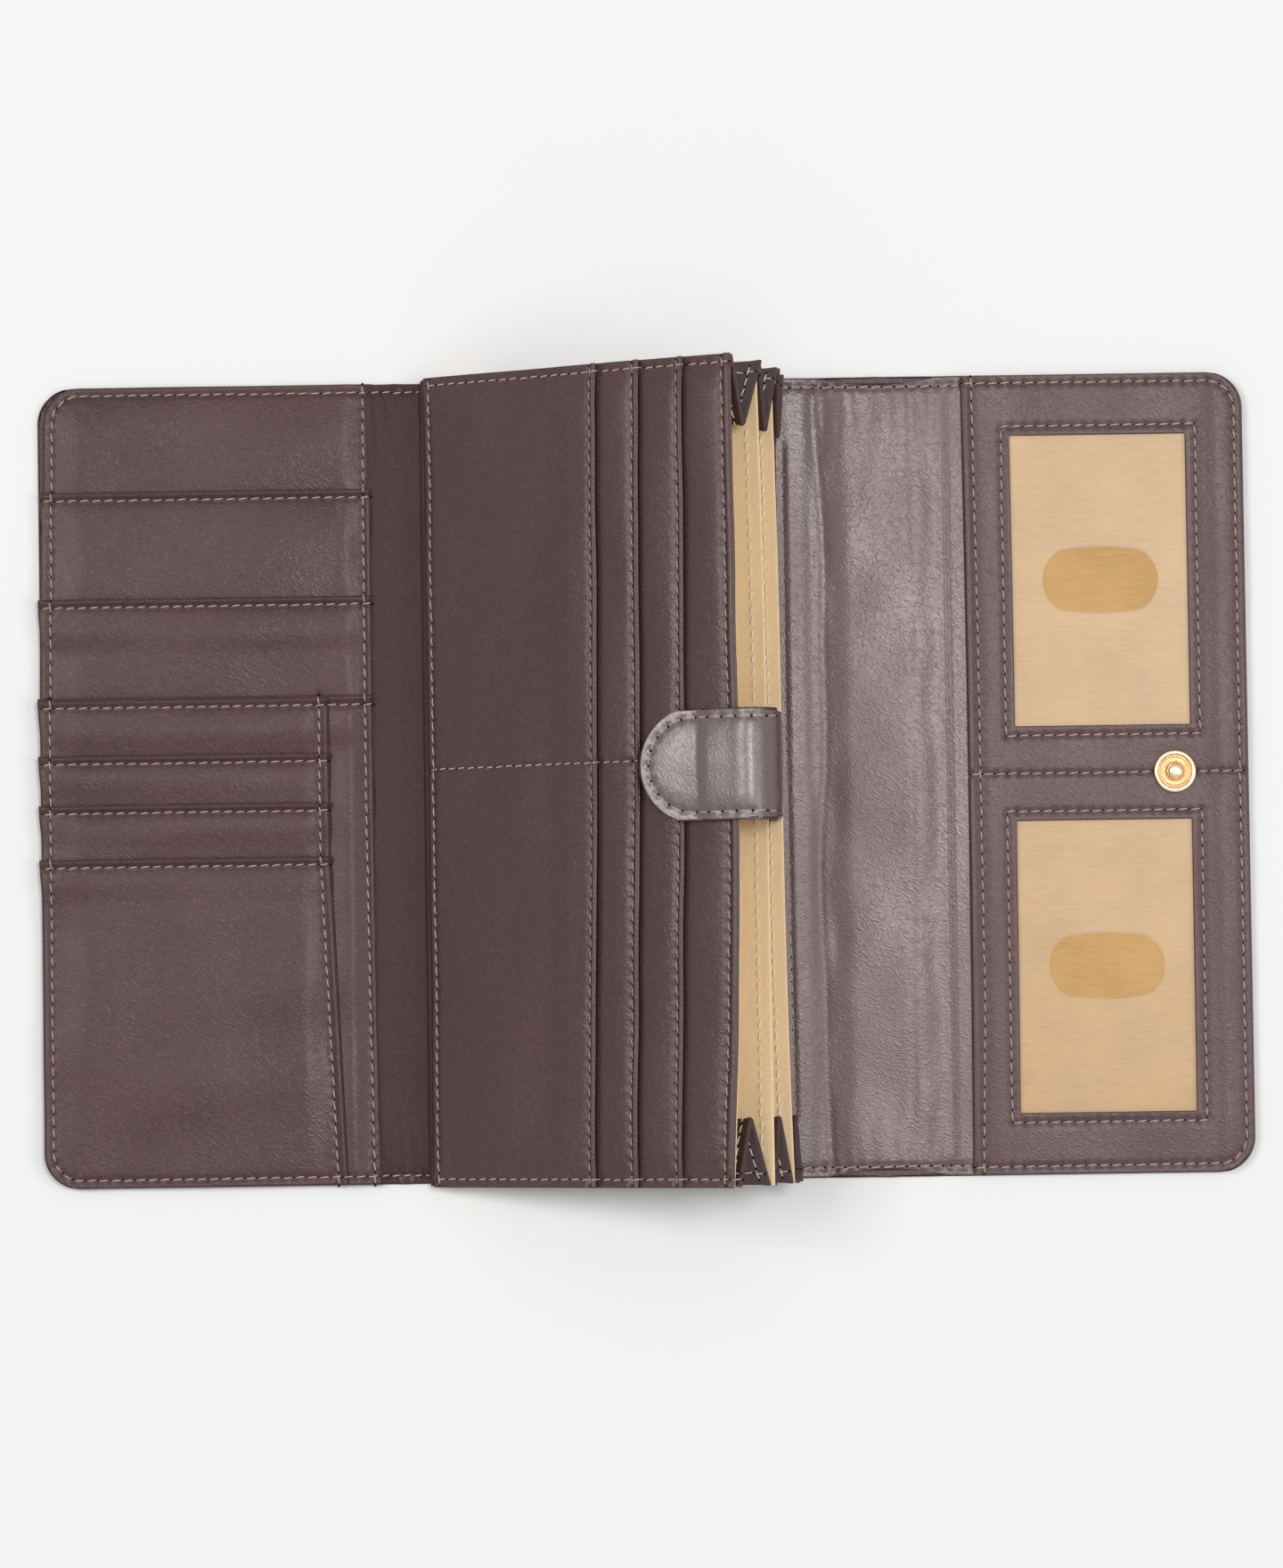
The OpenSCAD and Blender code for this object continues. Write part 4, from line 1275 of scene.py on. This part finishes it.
def front_shift(u, y):
    """How far the folds lean across the wall, and how its mouth is drawn in."""
    share = front_share(u)
    lean = 1.36 + np.where(y > 0, 0.9, 2.6) * y / bellows_half
    mouth = curve_between(y, -0.2, 0.4, -2.7)
    at_mouth = smooth((share - 0.8) / 0.2)
    return smooth(share / 0.45) * (lean * (1 - at_mouth) + mouth * at_mouth)


def front_drawn(u, y):
    """Radius that a place had before the shift."""
    plain = u
    for _ in range(3):
        plain = u - front_shift(plain, y)
    return plain


def front_line(r):
    """Places along a line at one radius, following the mouth's shape."""
    ys = np.linspace(wall_half - 0.5, 0.5 - wall_half, 11)
    return [(r + float(front_shift(r, y)), y) for y in ys]


centre_y = 3.0
front_ends = [
    Seam([(front_left + 1, side * (wall_half - seam_in)), (bellows_d - 0.5, side * (wall_half - seam_in))])
    for side in (1, -1)
]
front_centre = Seam([(front_left + 0.5, centre_y), (slot_2_r + 1.2, centre_y)], 2.95)
front_closed = Seam(front_line(front_left + 1.9))
front_mouths = {
    "1": Seam(front_line(slot_1_r - 2.2)),
    "2": Seam(front_line(slot_2_r - 2.3)),
    "3": Seam(front_line(slot_3_r - 2.2)),
    "panel": Seam(front_line(bellows_d - 2.9)),
}
front_through = front_ends + [front_closed, front_centre]


def front_relief(x, y):
    drawn = front_drawn(x, y)
    lines = [front_left + 2, slot_1_r - 2, slot_2_r - 2, slot_3_r - 2, bellows_d - 3]
    ends = smooth((wall_half - 2 - np.abs(y)) / 8)
    swell = pillows(drawn, lines, 0.8) * ends
    return swell + waves(x, y, 28, 0.16, 31) - dents(front_through, x, y)


front_sheets = [
    ("front_panel", "front_wall_panel", front_left, bellows_d, lambda r: front_top_n + 0 * r, "panel"),
    ("front_slot_c", "front_slot_3", slot_2_r - tuck, slot_3_r, lambda r: front_low + 0 * r, "3"),
    ("front_slot_b", "front_slot_2", slot_1_r - tuck, slot_2_r,
     lambda r: stepped(r, slot_2_r - tuck, front_low, front_high), "2"),
    ("front_slot_a", "front_slot_1", front_left, slot_1_r,
     lambda r: stepped(r, slot_1_r - tuck, front_low, front_high), "1"),
]


def front_top(entry, x, y):
    _, _, start, mouth, level, seam = entry
    drawn = front_drawn(x, y)
    z = level(drawn) + front_relief(x, y) - front_mouths[seam].dent(x, y)
    closed_end = -0.5 * (1 - smooth((x - front_left) / 1.4)) if start == front_left else 0
    wide = 1.1 * bump(mouth - 1.2 - drawn, 1.1) if seam == "panel" else lip(drawn, mouth, 1.05, 0.85)
    return z + wide * smooth((drawn - start) / 6) + closed_end


def front_surface(x, y):
    z = front_top(front_sheets[0], x, y)
    drawn = front_drawn(x, y)
    for entry in front_sheets[1:]:
        covers = (drawn <= entry[3] + 0.2) & (drawn >= entry[2])
        z = np.where(covers, np.maximum(z, front_top(entry, x, y)), z)
    return z


def make_front_wall():
    place = in_wall(angle_f)
    for entry in front_sheets:
        name, node, start, mouth, _, _ = entry
        near_x = [front_left + 1.9, mouth - 2.4]
        xs = grid_lines(start, mouth, 0.8, near=near_x, fine=0.4, reach=1.2)
        near_y = [wall_half - seam_in, -wall_half + seam_in]
        if start < slot_1_r or mouth <= slot_2_r:
            near_y.append(centre_y)
        ys = grid_lines(-wall_half, wall_half, 0.9, near=near_y, fine=0.4, reach=1.2)

        def outline(gx, gy):
            return gx + front_shift(gx, gy), gy

        piece = sheet(name, leather_wall_shade, xs, ys, lambda x, y, e=entry: front_top(e, x, y),
                      0.6 if name == "front_panel" else slot_t * 0.9, place=place, outline=outline, rim=0.3)
        finish_piece(piece, "front_wall", [node], "leatherette")
    xs = grid_lines(front_left + 0.3, bellows_d - 0.6, 2.0, near=[bellows_d - 2.9])
    ys = grid_lines(-wall_half + 0.3, wall_half - 0.3, 2.0)

    def outline_lining(gx, gy):
        back = 0.25 - 0.75 * smooth((gy + 30) / 60)
        return gx + front_shift(gx, gy) + back * front_share(gx), gy

    lining = sheet("front_lining_cloth", tan_twill, xs, ys,
                   lambda x, y: front_panel_n - 0.1 + 0 * x, 0.4,
                   place=place, outline=outline_lining, rim=0.18)
    finish_piece(lining, "front_wall", ["front_wall_lining"], "twill")
    seams = front_through + list(front_mouths.values())
    finish_piece(stitches("front_stitches", seams, front_surface, place=place, seed=11), "front_wall")


make_front_wall()


def divider_mouth(y, n):
    """Radius of a divider's fold, which leans with the cloth's pull."""
    if n < 0:
        return bellows_d - curve_between(y, 3.2, 1.9, 0.3)
    return bellows_d - curve_between(y, 2.4, 0.9, 0.7)


def divider_mapping(angle, n):
    """Cloth folded round a board: u runs from the lower ply's end over the fold to the upper ply's end."""
    turn_r = divider_t / 2 - ply / 2
    centre_n = n + divider_t / 2
    quarter = math.pi * turn_r / 2

    def place(u, v, h):
        centre_r = divider_mouth(v, n) - turn_r - ply / 2
        past = np.maximum(np.abs(u) - quarter, 0)
        phi = np.clip(u, -quarter, quarter) / turn_r
        r = centre_r - past + (turn_r + h) * np.cos(phi)
        r = np.where(past > 0, centre_r - past, r)
        x, z = at_wall(angle, r, centre_n + (turn_r + h) * np.sin(phi))
        return x, v, z
    return place


def make_divider(name, node, body, angle, n, seed):
    """Divider's cloth with its seams, folded round a board at an angle and offset."""
    place = divider_mapping(angle, n)
    ply_length = bellows_d - wall_start - 4
    us = grid_lines(-ply_length, ply_length, 2.0, near=[0.0], fine=0.15, reach=1.2)
    us = np.unique(np.concatenate([us, ply_length - np.array([1.0, 2.0])]))
    end_y = wall_half - end_inset
    ys = grid_lines(-wall_half + 0.2, wall_half - 0.2, 1.6, near=[end_y, -end_y])
    seam_u = 2.9 + divider_t / 2
    mouth_seam = Seam([(seam_u, wall_half - 1), (seam_u, -wall_half + 1)], 3.1, depth=0.06, weight=1.25,
                      hole=0.45)
    ends = [Seam([(seam_u, side * end_y), (30, side * end_y)], depth=0.05, hole=0.45) for side in (1, -1)]

    def top(u, v):
        return ply / 2 + waves(u, v, 16, 0.012, seed) - dents([mouth_seam], u, v)

    piece = sheet(name, tan_twill, us, ys, top, lambda u, v: top(u, v) + ply / 2, place=place, rim=0.1)
    finish_piece(piece, body, [node], "twill")
    sewn = stitches(name + "_stitches", [mouth_seam] + ends, top, place=place,
                    materials=pale_sewing, seed=seed)
    finish_piece(sewn, body)


make_divider("divider_rear_cloth", "divider_2", "divider_2", angle_2, -divider_t, 41)
make_divider("divider_middle_cloth", "divider_1", "divider_1", angle_1, wall_gap, 42)


def make_divider_board(name, node, body, angle, n):
    """Board inside a divider's cloth, cut to the cloth's leaning mouth."""
    centre_n = n + divider_t / 2
    xs = grid_lines(wall_start + 2, bellows_d - 1, 4.0)
    ys = grid_lines(-wall_half + 3, wall_half - 3, 4.0)

    def outline(gx, gy):
        return gx + (divider_mouth(gy, n) - bellows_d) * (gx / bellows_d), gy

    piece = sheet(name, board, xs, ys, lambda x, y: centre_n + 0.13 + 0 * x, 0.26,
                  place=in_wall(angle), outline=outline, rim=0.06)
    finish_piece(piece, body, [node], "board")


make_divider_board("rear_board", "divider_2_board", "divider_2", angle_2, -divider_t)
make_divider_board("middle_board", "divider_1_board", "divider_1", angle_1, wall_gap)


def make_closed_end():
    """Soft roll at the closed end that all walls are sewn to."""
    steps = 24
    ys = np.linspace(-bellows_half + 0.5, bellows_half - 0.5, 160)
    turn = np.arange(steps) * 2 * math.pi / steps
    radius = 1.15 + 0.04 * np.sin(ys * 2.03)
    radius[[0, -1]] = 0.7
    x = pivot_x + radius[:, None] * np.cos(turn)
    z = pivot_z + radius[:, None] * np.sin(turn)
    y = np.repeat(ys[:, None], steps, 1)
    points = np.stack([x, y, z], 2).reshape(-1, 3)
    ids = np.arange(len(ys) * steps).reshape(len(ys), steps)
    faces = [ring_quads(ids)[:, FLIPPED], ids[:1], ids[-1:, ::-1]]
    # The roll takes the darker copy of the brown, painted shade deep inside the bellows
    piece = build("closed_end_roll", points, faces, leather_painted_shade)
    finish_piece(piece, "back", ["bellows_seam"], "dark_leatherette")


make_closed_end()


# Gussets

gusset_leg = 18.0
gusset_start = 14.0
gusset_room = 0.35
gusset_pull = 0.8


def gusset_mapping(side, low_wall, high_wall):
    """Pleat between the ends of two walls: u is the radius and v runs from the lower wall to the upper."""
    def rails(u):
        low_point = at_wall(low_wall[0], u, low_wall[1] + gusset_room)
        high_point = at_wall(high_wall[0], u, high_wall[1] - gusset_room)
        return np.stack(low_point, -1), np.stack(high_point, -1)

    def base(u, v):
        s = np.clip(v / gusset_leg, -1, 1)
        soft = (np.sqrt(s * s + 0.03 ** 2) - 0.03) / (math.sqrt(1 + 0.03 ** 2) - 0.03)
        run = np.clip((u - gusset_start) / (bellows_d - gusset_start), 0, 1)
        u = u - gusset_pull * (1 - np.abs(s)) ** 0.9 * run ** 2
        lower, upper = rails(u)
        span = np.linalg.norm(upper - lower, axis=-1)
        depth = np.sqrt(gusset_leg ** 2 - (span / 2) ** 2)
        w = (1 + s) / 2
        w = w + 0.16 * np.sin(math.pi * 2 * w) * (1 - smooth(span / 12))
        middle = lower * (1 - w)[..., None] + upper * w[..., None]
        y = side * (bellows_half - 0.5 - depth * (1 - soft))
        return np.stack([middle[..., 0], y, middle[..., 1]], -1)

    def place(u, v, h):
        e = 0.02
        du = base(u + e, v) - base(u - e, v)
        dv = base(u, v + e) - base(u, v - e)
        normal = np.cross(du, dv) * side
        normal /= np.linalg.norm(normal, axis=-1, keepdims=True) + 1e-12
        point = base(u, v) + normal * h[..., None]
        return point[..., 0], point[..., 1], point[..., 2]

    return place, rails


def make_gusset(name, node, side, low_wall, high_wall, bodies, weights, end_r, seed):
    """Pleat with its hem and threads. weights are the walls' shares of the second body."""
    place, rails = gusset_mapping(side, low_wall, high_wall)
    us = grid_lines(gusset_start, end_r, 1.4, near=[end_r - 2.6], fine=0.4, reach=0.9)
    vs = grid_lines(-gusset_leg, gusset_leg, 1.0, near=[0.0], fine=0.3, reach=1.5)
    hem = Seam([(end_r - 2.6, -gusset_leg + 1.5), (end_r - 2.6, gusset_leg - 1.5)], 3.0, depth=0.1)
    side_seams = [Seam([(end_r - 0.5, k * (gusset_leg - end_inset)), (30, k * (gusset_leg - end_inset))],
                       depth=0.1) for k in (-1, 1)]
    all_seams = [hem] + side_seams

    def crumple(u, v):
        return waves(u, v, 9, 0.09, seed) * smooth((gusset_leg - np.abs(v)) / 5)

    def swell(u, v):
        """The rolled hem at the mouth, and the turned cloth behind its stitches."""
        return 0.12 * smooth((u - end_r + 3.2) / 0.6) + 0.42 * bump(end_r - 0.8 - u, 0.75)

    def top(u, v):
        return 0.22 + swell(u, v) + crumple(u, v) - dents(all_seams, u, v)

    def thick(u, v):
        return 0.44 + 2 * swell(u, v) - 1.2 * dents(all_seams, u, v)

    # The pleats take the darker copy of the brown, painted shade inside the bellows' ends
    piece = sheet(name, leather_pleat_shade, us, vs, top, thick, place=place, rim=0.2)
    sewn = stitches(name + "_stitches", all_seams, top, place=place,
                    materials=pale_sewing, seed=seed)
    behind = stitches(name + "_stitches_behind", all_seams, lambda u, v: thick(u, v) - top(u, v),
                      place=lambda u, v, h: place(u, v, -h), materials=pale_sewing, seed=seed)

    def share_of(co):
        radius = np.hypot(co[:, 0] - pivot_x, co[:, 2] - pivot_z)
        lower, upper = rails(radius)
        across = upper - lower
        share = ((co[:, [0, 2]] - lower) * across).sum(1) / np.maximum((across ** 2).sum(1), 1e-9)
        return weights[0] + (weights[1] - weights[0]) * np.clip(share, 0, 1)

    finish_bent((piece, sewn, behind), bodies, node, "dark_leatherette", pivot_x, share_of)


def make_gussets():
    # Faces of the walls, each an angle and an offset
    back_face = (0.0, lining_top - pivot_z + 0.65)
    rear_low, rear_high = (angle_2, -divider_t), (angle_2, 0.0)
    middle_low, middle_high = (angle_1, wall_gap), (angle_1, wall_gap + divider_t)
    front_face = (angle_f, front_n)
    sets = [
        # number, lower and upper face, bodies, their shares, ends of the top and the bottom pleat
        (3, back_face, rear_low, ("back", "divider_2"), (0, 1), (bellows_d - 1.0, bellows_d + 0.7)),
        (2, rear_high, middle_low, ("divider_2", "divider_1"), (0, 1),
         (bellows_d - 1.4, bellows_d - 0.5)),
        (1, middle_high, front_face, ("divider_2", "front_wall"), (0.5, 1),
         (bellows_d - 0.6, bellows_d - 1.5)),
    ]
    for number, low_wall, high_wall, bodies, weights, ends in sets:
        for side, end, end_r in ((1, "top", ends[0]), (-1, "bottom", ends[1])):
            make_gusset(f"pleat_{end}_{number}", f"gusset_{end}_{number}", side, low_wall, high_wall,
                        bodies, weights, end_r, 50 + number * 2 + side)


make_gussets()


# Tab and its strap

tab_mid_n = tab_n + tab_t / 2
tip_rise = 4.4
tab_longer = -0.4
tab_wider = 1.2
tab_shift = 1.3
tab_left_r = tab_end_r - tab_l - tab_longer


def bezier(points, count):
    p = np.asarray(points, float)
    t = np.linspace(0, 1, count)[:, None]
    return (1 - t) ** 3 * p[0] + 3 * (1 - t) ** 2 * t * p[1] + 3 * (1 - t) * t * t * p[2] + t ** 3 * p[3]


def strap_path():
    """Cross-section of the tab and strap from the tab's tip to the foot on the rear divider."""
    tip = np.array(at_wall(angle_f, tab_left_r, tab_mid_n))
    crest = np.array(at_wall(angle_f, tab_end_r + 0.15, tab_mid_n))
    lift = np.array([math.cos(angle_f), math.sin(angle_f)])
    foot = np.array(at_wall(angle_2, bellows_d - 13, strap_t / 2 + 0.05))
    turn = np.array(at_wall(angle_2, bellows_d - 4, strap_t / 2 + 0.05))
    along = np.array([math.cos(angle_2), math.sin(angle_2)])
    x = at_wall(angle_1, bellows_d, 0)[0] + 1.7
    straight = tip + np.linspace(0, 1, 60)[:, None] * (crest - tip)
    rise = tip_rise * np.clip(1 - np.linspace(0, 1, 60) / 0.6, 0, 1) ** 1.15
    straight += rise[:, None] * np.array([-math.sin(angle_f), math.cos(angle_f)])
    over = bezier([crest, crest + 6 * lift, (x, crest[1] - 2), (x, crest[1] - 9)], 60)
    under = bezier([turn, turn + 1.8 * along, (x, turn[1] + 1), (x, turn[1] + 6)], 40)[::-1]
    drop = over[-1] + np.linspace(0, 1, 20)[1:-1, None] * (under[0] - over[-1])
    end = turn + np.linspace(0, 1, 20)[1:, None] * (foot - turn)
    return np.concatenate([straight, over[1:], drop, under, end])


class Track:
    """Path in the cross-section, followed by length, with an offset to its upper side."""

    def __init__(self, points):
        self.points = points
        steps = np.linalg.norm(np.diff(points, axis=0), axis=1)
        self.length = np.concatenate([[0], np.cumsum(steps)])

    def place(self, u, v, h):
        e = 0.25
        point = self.at(u)
        way = self.at(u + e) - self.at(u - e)
        way /= np.linalg.norm(way, axis=-1, keepdims=True) + 1e-12
        return point[..., 0] - way[..., 1] * h, v + tab_shift, point[..., 1] + way[..., 0] * h

    def at(self, u):
        total = self.length[-1]
        inside = np.clip(u, 0, total)
        x = np.interp(inside, self.length, self.points[:, 0])
        z = np.interp(inside, self.length, self.points[:, 1])
        point = np.stack([x, z], -1)
        first = self.points[1] - self.points[0]
        first /= np.linalg.norm(first)
        last = self.points[-1] - self.points[-2]
        last /= np.linalg.norm(last)
        beyond = (u - inside)[..., None]
        return point + np.where(beyond < 0, first, last) * beyond


track = Track(strap_path())
tongue_end = tab_l + tab_longer + 12.5
strap_from = tab_l + tab_longer + 8.5
strap_turn_u = track.length[-1] - 9.0
tab_round = (tab_w + tab_wider) / 2
tab_edge = tab_round - 2.5


def tab_outline(gx, gy):
    """Rounds the free end of the tab."""
    r = tab_round
    cut = r - np.sqrt(np.maximum(r * r - np.clip(gy, -r, r) ** 2, 0))
    share = gx / tongue_end
    return cut + share * (tongue_end - cut), gy


def tab_seam_points():
    points = [(tongue_end - 0.5, tab_edge)]
    points += [(tab_round + (1 - k / 6) * (tongue_end - tab_round - 1), tab_edge) for k in range(1, 6)]
    points += arc(tab_round, 0, tab_edge, 90, 270, 19)
    points += [(tongue_end - 0.5, -tab_edge)]
    return points


tab_seam = Seam(tab_seam_points(), 3.85, depth=0.5, width=0.85, slant=0.05, weight=0.8, hole=1.7)


def tab_height(u, v):
    from_tip = np.where(u < tab_round, tab_round - np.hypot(u - tab_round, v), np.inf)
    inside = np.minimum(tab_round - np.abs(v), from_tip)
    crown = 0.55 * smooth(inside / 7.0)
    dome = 0.5 * np.exp(-((u - (snap_r - tab_left_r)) ** 2 + v * v) / 7.5 ** 2)
    dome += 0.7 * smooth((u - 15) / 4) * (1 - smooth((u - 18) / 9))
    thin = smooth((tongue_end - 1 - u) / 12)
    pad = 0.62 + 0.38 * thin + crown * (0.25 + 0.75 * thin) + dome
    return pad - tab_seam.dent(u, v) * (0.4 + 0.6 * thin) + waves(u, v, 11, 0.04, 61)


def make_tab():
    us = grid_lines(0, tongue_end, 0.55, near=[tab_round], fine=0.4)
    spread = [tab_round * math.sin(math.radians(a)) for a in range(-90, 91, 4)]
    vs = np.unique(np.round(np.array(spread + [k * 0.55 for k in range(-24, 25)]), 3))
    kept = [vs[0]]
    for v in vs[1:]:
        if v - kept[-1] > 0.16:
            kept.append(v)
    kept[-1] = tab_round
    vs = np.array(kept)
    vs = vs[np.abs(vs) <= tab_round * 0.999]

    def under(u, v):
        thin = smooth((tongue_end - 4 - u) / 8)
        return -0.62 - 0.6 * thin

    def thick(u, v):
        return tab_height(u, v) - under(u, v)

    piece = sheet("tab_tongue", leather_tab, us, vs, tab_height, thick, place=track.place,
                  outline=tab_outline, rim=0.8)
    crest_x, crest_z = track.at(np.array(tab_l + tab_longer + 1.5))
    inner_x, inner_z = track.at(np.array(tab_l + tab_longer - 2.5))
    bent = ((crest_x, 0, crest_z), (inner_x, 0, inner_z))
    finish_piece(piece, ("front_wall", "tab"), ["tab_top", "tab_underside"], "leatherette", *bent)
    sewn = stitches("tab_stitches", [tab_seam], tab_height, place=track.place, seed=62)
    finish_piece(sewn, ("front_wall", "tab"), (), None, *bent)

    strap_seams = [Seam([(strap_from + 6, side * tab_edge), (strap_turn_u - 1, side * tab_edge)], 3.85,
                        depth=0.15) for side in (1, -1)]

    def strap_top(u, v):
        return strap_t / 2 - dents(strap_seams, u, v) + waves(u, v, 12, 0.03, 64)

    us = grid_lines(strap_from, track.length[-1], 0.9)
    vs = grid_lines(-tab_round + 1.1, tab_round - 1.1, 0.9, near=[tab_edge, -tab_edge])
    strap = sheet("tab_strap_band", leather_tab, us, vs, strap_top,
                  lambda u, v: strap_top(u, v) + strap_t / 2, place=track.place, rim=0.4)
    sewn = stitches("strap_stitches", strap_seams, strap_top, place=track.place, seed=63)

    def share_of(co):
        away = ((co[:, None, 0] - track.points[None, :, 0]) ** 2
                + (co[:, None, 2] - track.points[None, :, 1]) ** 2)
        u = track.length[np.argmin(away, axis=1)]
        return 1 - smooth((u - tongue_end + 1) / (strap_turn_u - tongue_end + 1))

    finish_bent((strap, sewn), ("divider_2", "front_wall"), "tab_strap", "leatherette", 0, share_of)


make_tab()


# CAD nodes that stay, with their finishes

kept_finishes = {
    board: ["cover_board", "back_board", "flap_board"],
    gold: ["cover_socket", "flap_stud_post", "tab_stud", "tab_stud_post", "tab_socket"],
    steel: ["cover_socket_spring", "tab_socket_spring"],
}
for finish, names in kept_finishes.items():
    for name in names:
        node = frame["nodes"][name]
        if not node.material_slots:
            node.data.materials.append(None)
        for one in node.material_slots:
            one.link = "OBJECT"
            one.material = finish


# Floor, light and camera


# Strengths of the white that shows behind everything, and of the even light from all sides
backdrop = 0.905
surroundings = 0.37
floor_reach = 3.0


def backdrop_rays(tree):
    """1 for rays that show the backdrop: straight from the camera, mirrored or seen through something."""
    path = tree.nodes.new("ShaderNodeLightPath")
    total = path.outputs["Is Camera Ray"]
    for kind in ("Is Glossy Ray", "Is Transmission Ray"):
        either = tree.nodes.new("ShaderNodeMath")
        either.operation = "MAXIMUM"
        tree.links.new(total, either.inputs[0])
        tree.links.new(path.outputs[kind], either.inputs[1])
        total = either.outputs[0]
    return total


def show_mixed(tree, share, plain, seen, out):
    """Sends plain to the output, and seen in its place as far as share says."""
    mixed = tree.nodes.new("ShaderNodeMixShader")
    for k, source in enumerate((share, plain, seen)):
        tree.links.new(source, mixed.inputs[k])
    tree.links.new(mixed.outputs[0], out.inputs["Surface"])


def make_floor():
    """Pale floor that keeps the shadow and turns into the backdrop further away."""
    mesh = bpy.data.meshes.new("floor")
    corners = [(-1, -1), (1, -1), (1, 1), (-1, 1)]
    mesh.from_pydata([(x * floor_reach, y * floor_reach, 0) for x, y in corners], [], [(0, 1, 2, 3)])
    floor = bpy.data.objects.new("floor", mesh)
    bpy.context.scene.collection.objects.link(floor)
    look = Look("floor_paper", Roughness=0.9, Specular_IOR_Level=0.1)
    tone = look.noise(look.millimetres(), 0.02)
    look.link(look.ramp(tone, [(0, (0.9, 0.9, 0.9)), (1, (0.91, 0.91, 0.91))]), "Base Color")
    place = look.node("ShaderNodeTexCoord").outputs["Object"]
    away = look.node("ShaderNodeVectorMath", {0: place}, operation="LENGTH").outputs["Value"]
    far = look.node("ShaderNodeMapRange", {"Value": away, "From Min": 0.32, "From Max": 1.0})
    seen = look.math("MULTIPLY", far.outputs["Result"], backdrop_rays(look.tree))
    paper = look.node("ShaderNodeEmission", {"Color": (1, 1, 1, 1), "Strength": backdrop})
    show_mixed(look.tree, seen, look.shader.outputs[0], paper.outputs[0],
               look.tree.nodes["Material Output"])
    mesh.materials.append(look.material)


def make_world():
    """Even, dim surroundings that look white where they are seen."""
    world = bpy.data.worlds.new("studio")
    bpy.context.scene.world = world
    world.use_nodes = True
    tree = world.node_tree
    light = tree.nodes["Background"]
    seen = tree.nodes.new("ShaderNodeBackground")
    for background, strength in ((light, surroundings), (seen, backdrop)):
        background.inputs["Color"].default_value = (1, 1, 1, 1)
        background.inputs["Strength"].default_value = strength
    show_mixed(tree, backdrop_rays(tree), light.outputs[0], seen.outputs[0], tree.nodes["World Output"])


def make_lamp(name, place, size, power):
    """Square lamp that shines at the wallet's middle."""
    data = bpy.data.lights.new(name, "AREA")
    data.shape = "SQUARE"
    data.size = size
    data.energy = power
    lamp = bpy.data.objects.new(name, data)
    bpy.context.scene.collection.objects.link(lamp)
    lamp.location = place
    lamp.rotation_mode = "QUATERNION"
    lamp.rotation_quaternion = (-Vector(place)).to_track_quat("-Z", "Y")


# Camera over the table, in millimetres. view_w is what it shows across at the table.
camera_place = Vector((-0.9, -61.1, 1500))
camera_aim = Vector((-0.9, -1.1, 0))
camera_roll = math.radians(-0.85)
sensor_w = 36
view_w = 397.3


def make_camera():
    data = bpy.data.cameras.new("camera")
    camera = bpy.data.objects.new("camera", data)
    bpy.context.scene.collection.objects.link(camera)
    place = camera_place * MM
    towards = (camera_aim * MM - place).to_track_quat("-Z", "Y")
    camera.location = place
    camera.rotation_mode = "QUATERNION"
    camera.rotation_quaternion = towards @ Matrix.Rotation(camera_roll, 3, "Z").to_quaternion()
    data.sensor_width = sensor_w
    data.lens = sensor_w * camera_place.z / view_w
    data.clip_start = 0.05
    data.clip_end = 20
    bpy.context.scene.camera = camera


make_floor()
make_world()
for lamp in (
    ("ceiling_light", (0.4, 0.2, 2.2), 0.45, 15.5),
    ("window_light", (-1.0, 0.28, 1.75), 0.7, 12),
    ("right_light", (1.2, -0.2, 1.3), 0.8, 5),
):
    make_lamp(*lamp)
make_camera()
bpy.context.scene.view_settings.view_transform = "Standard"
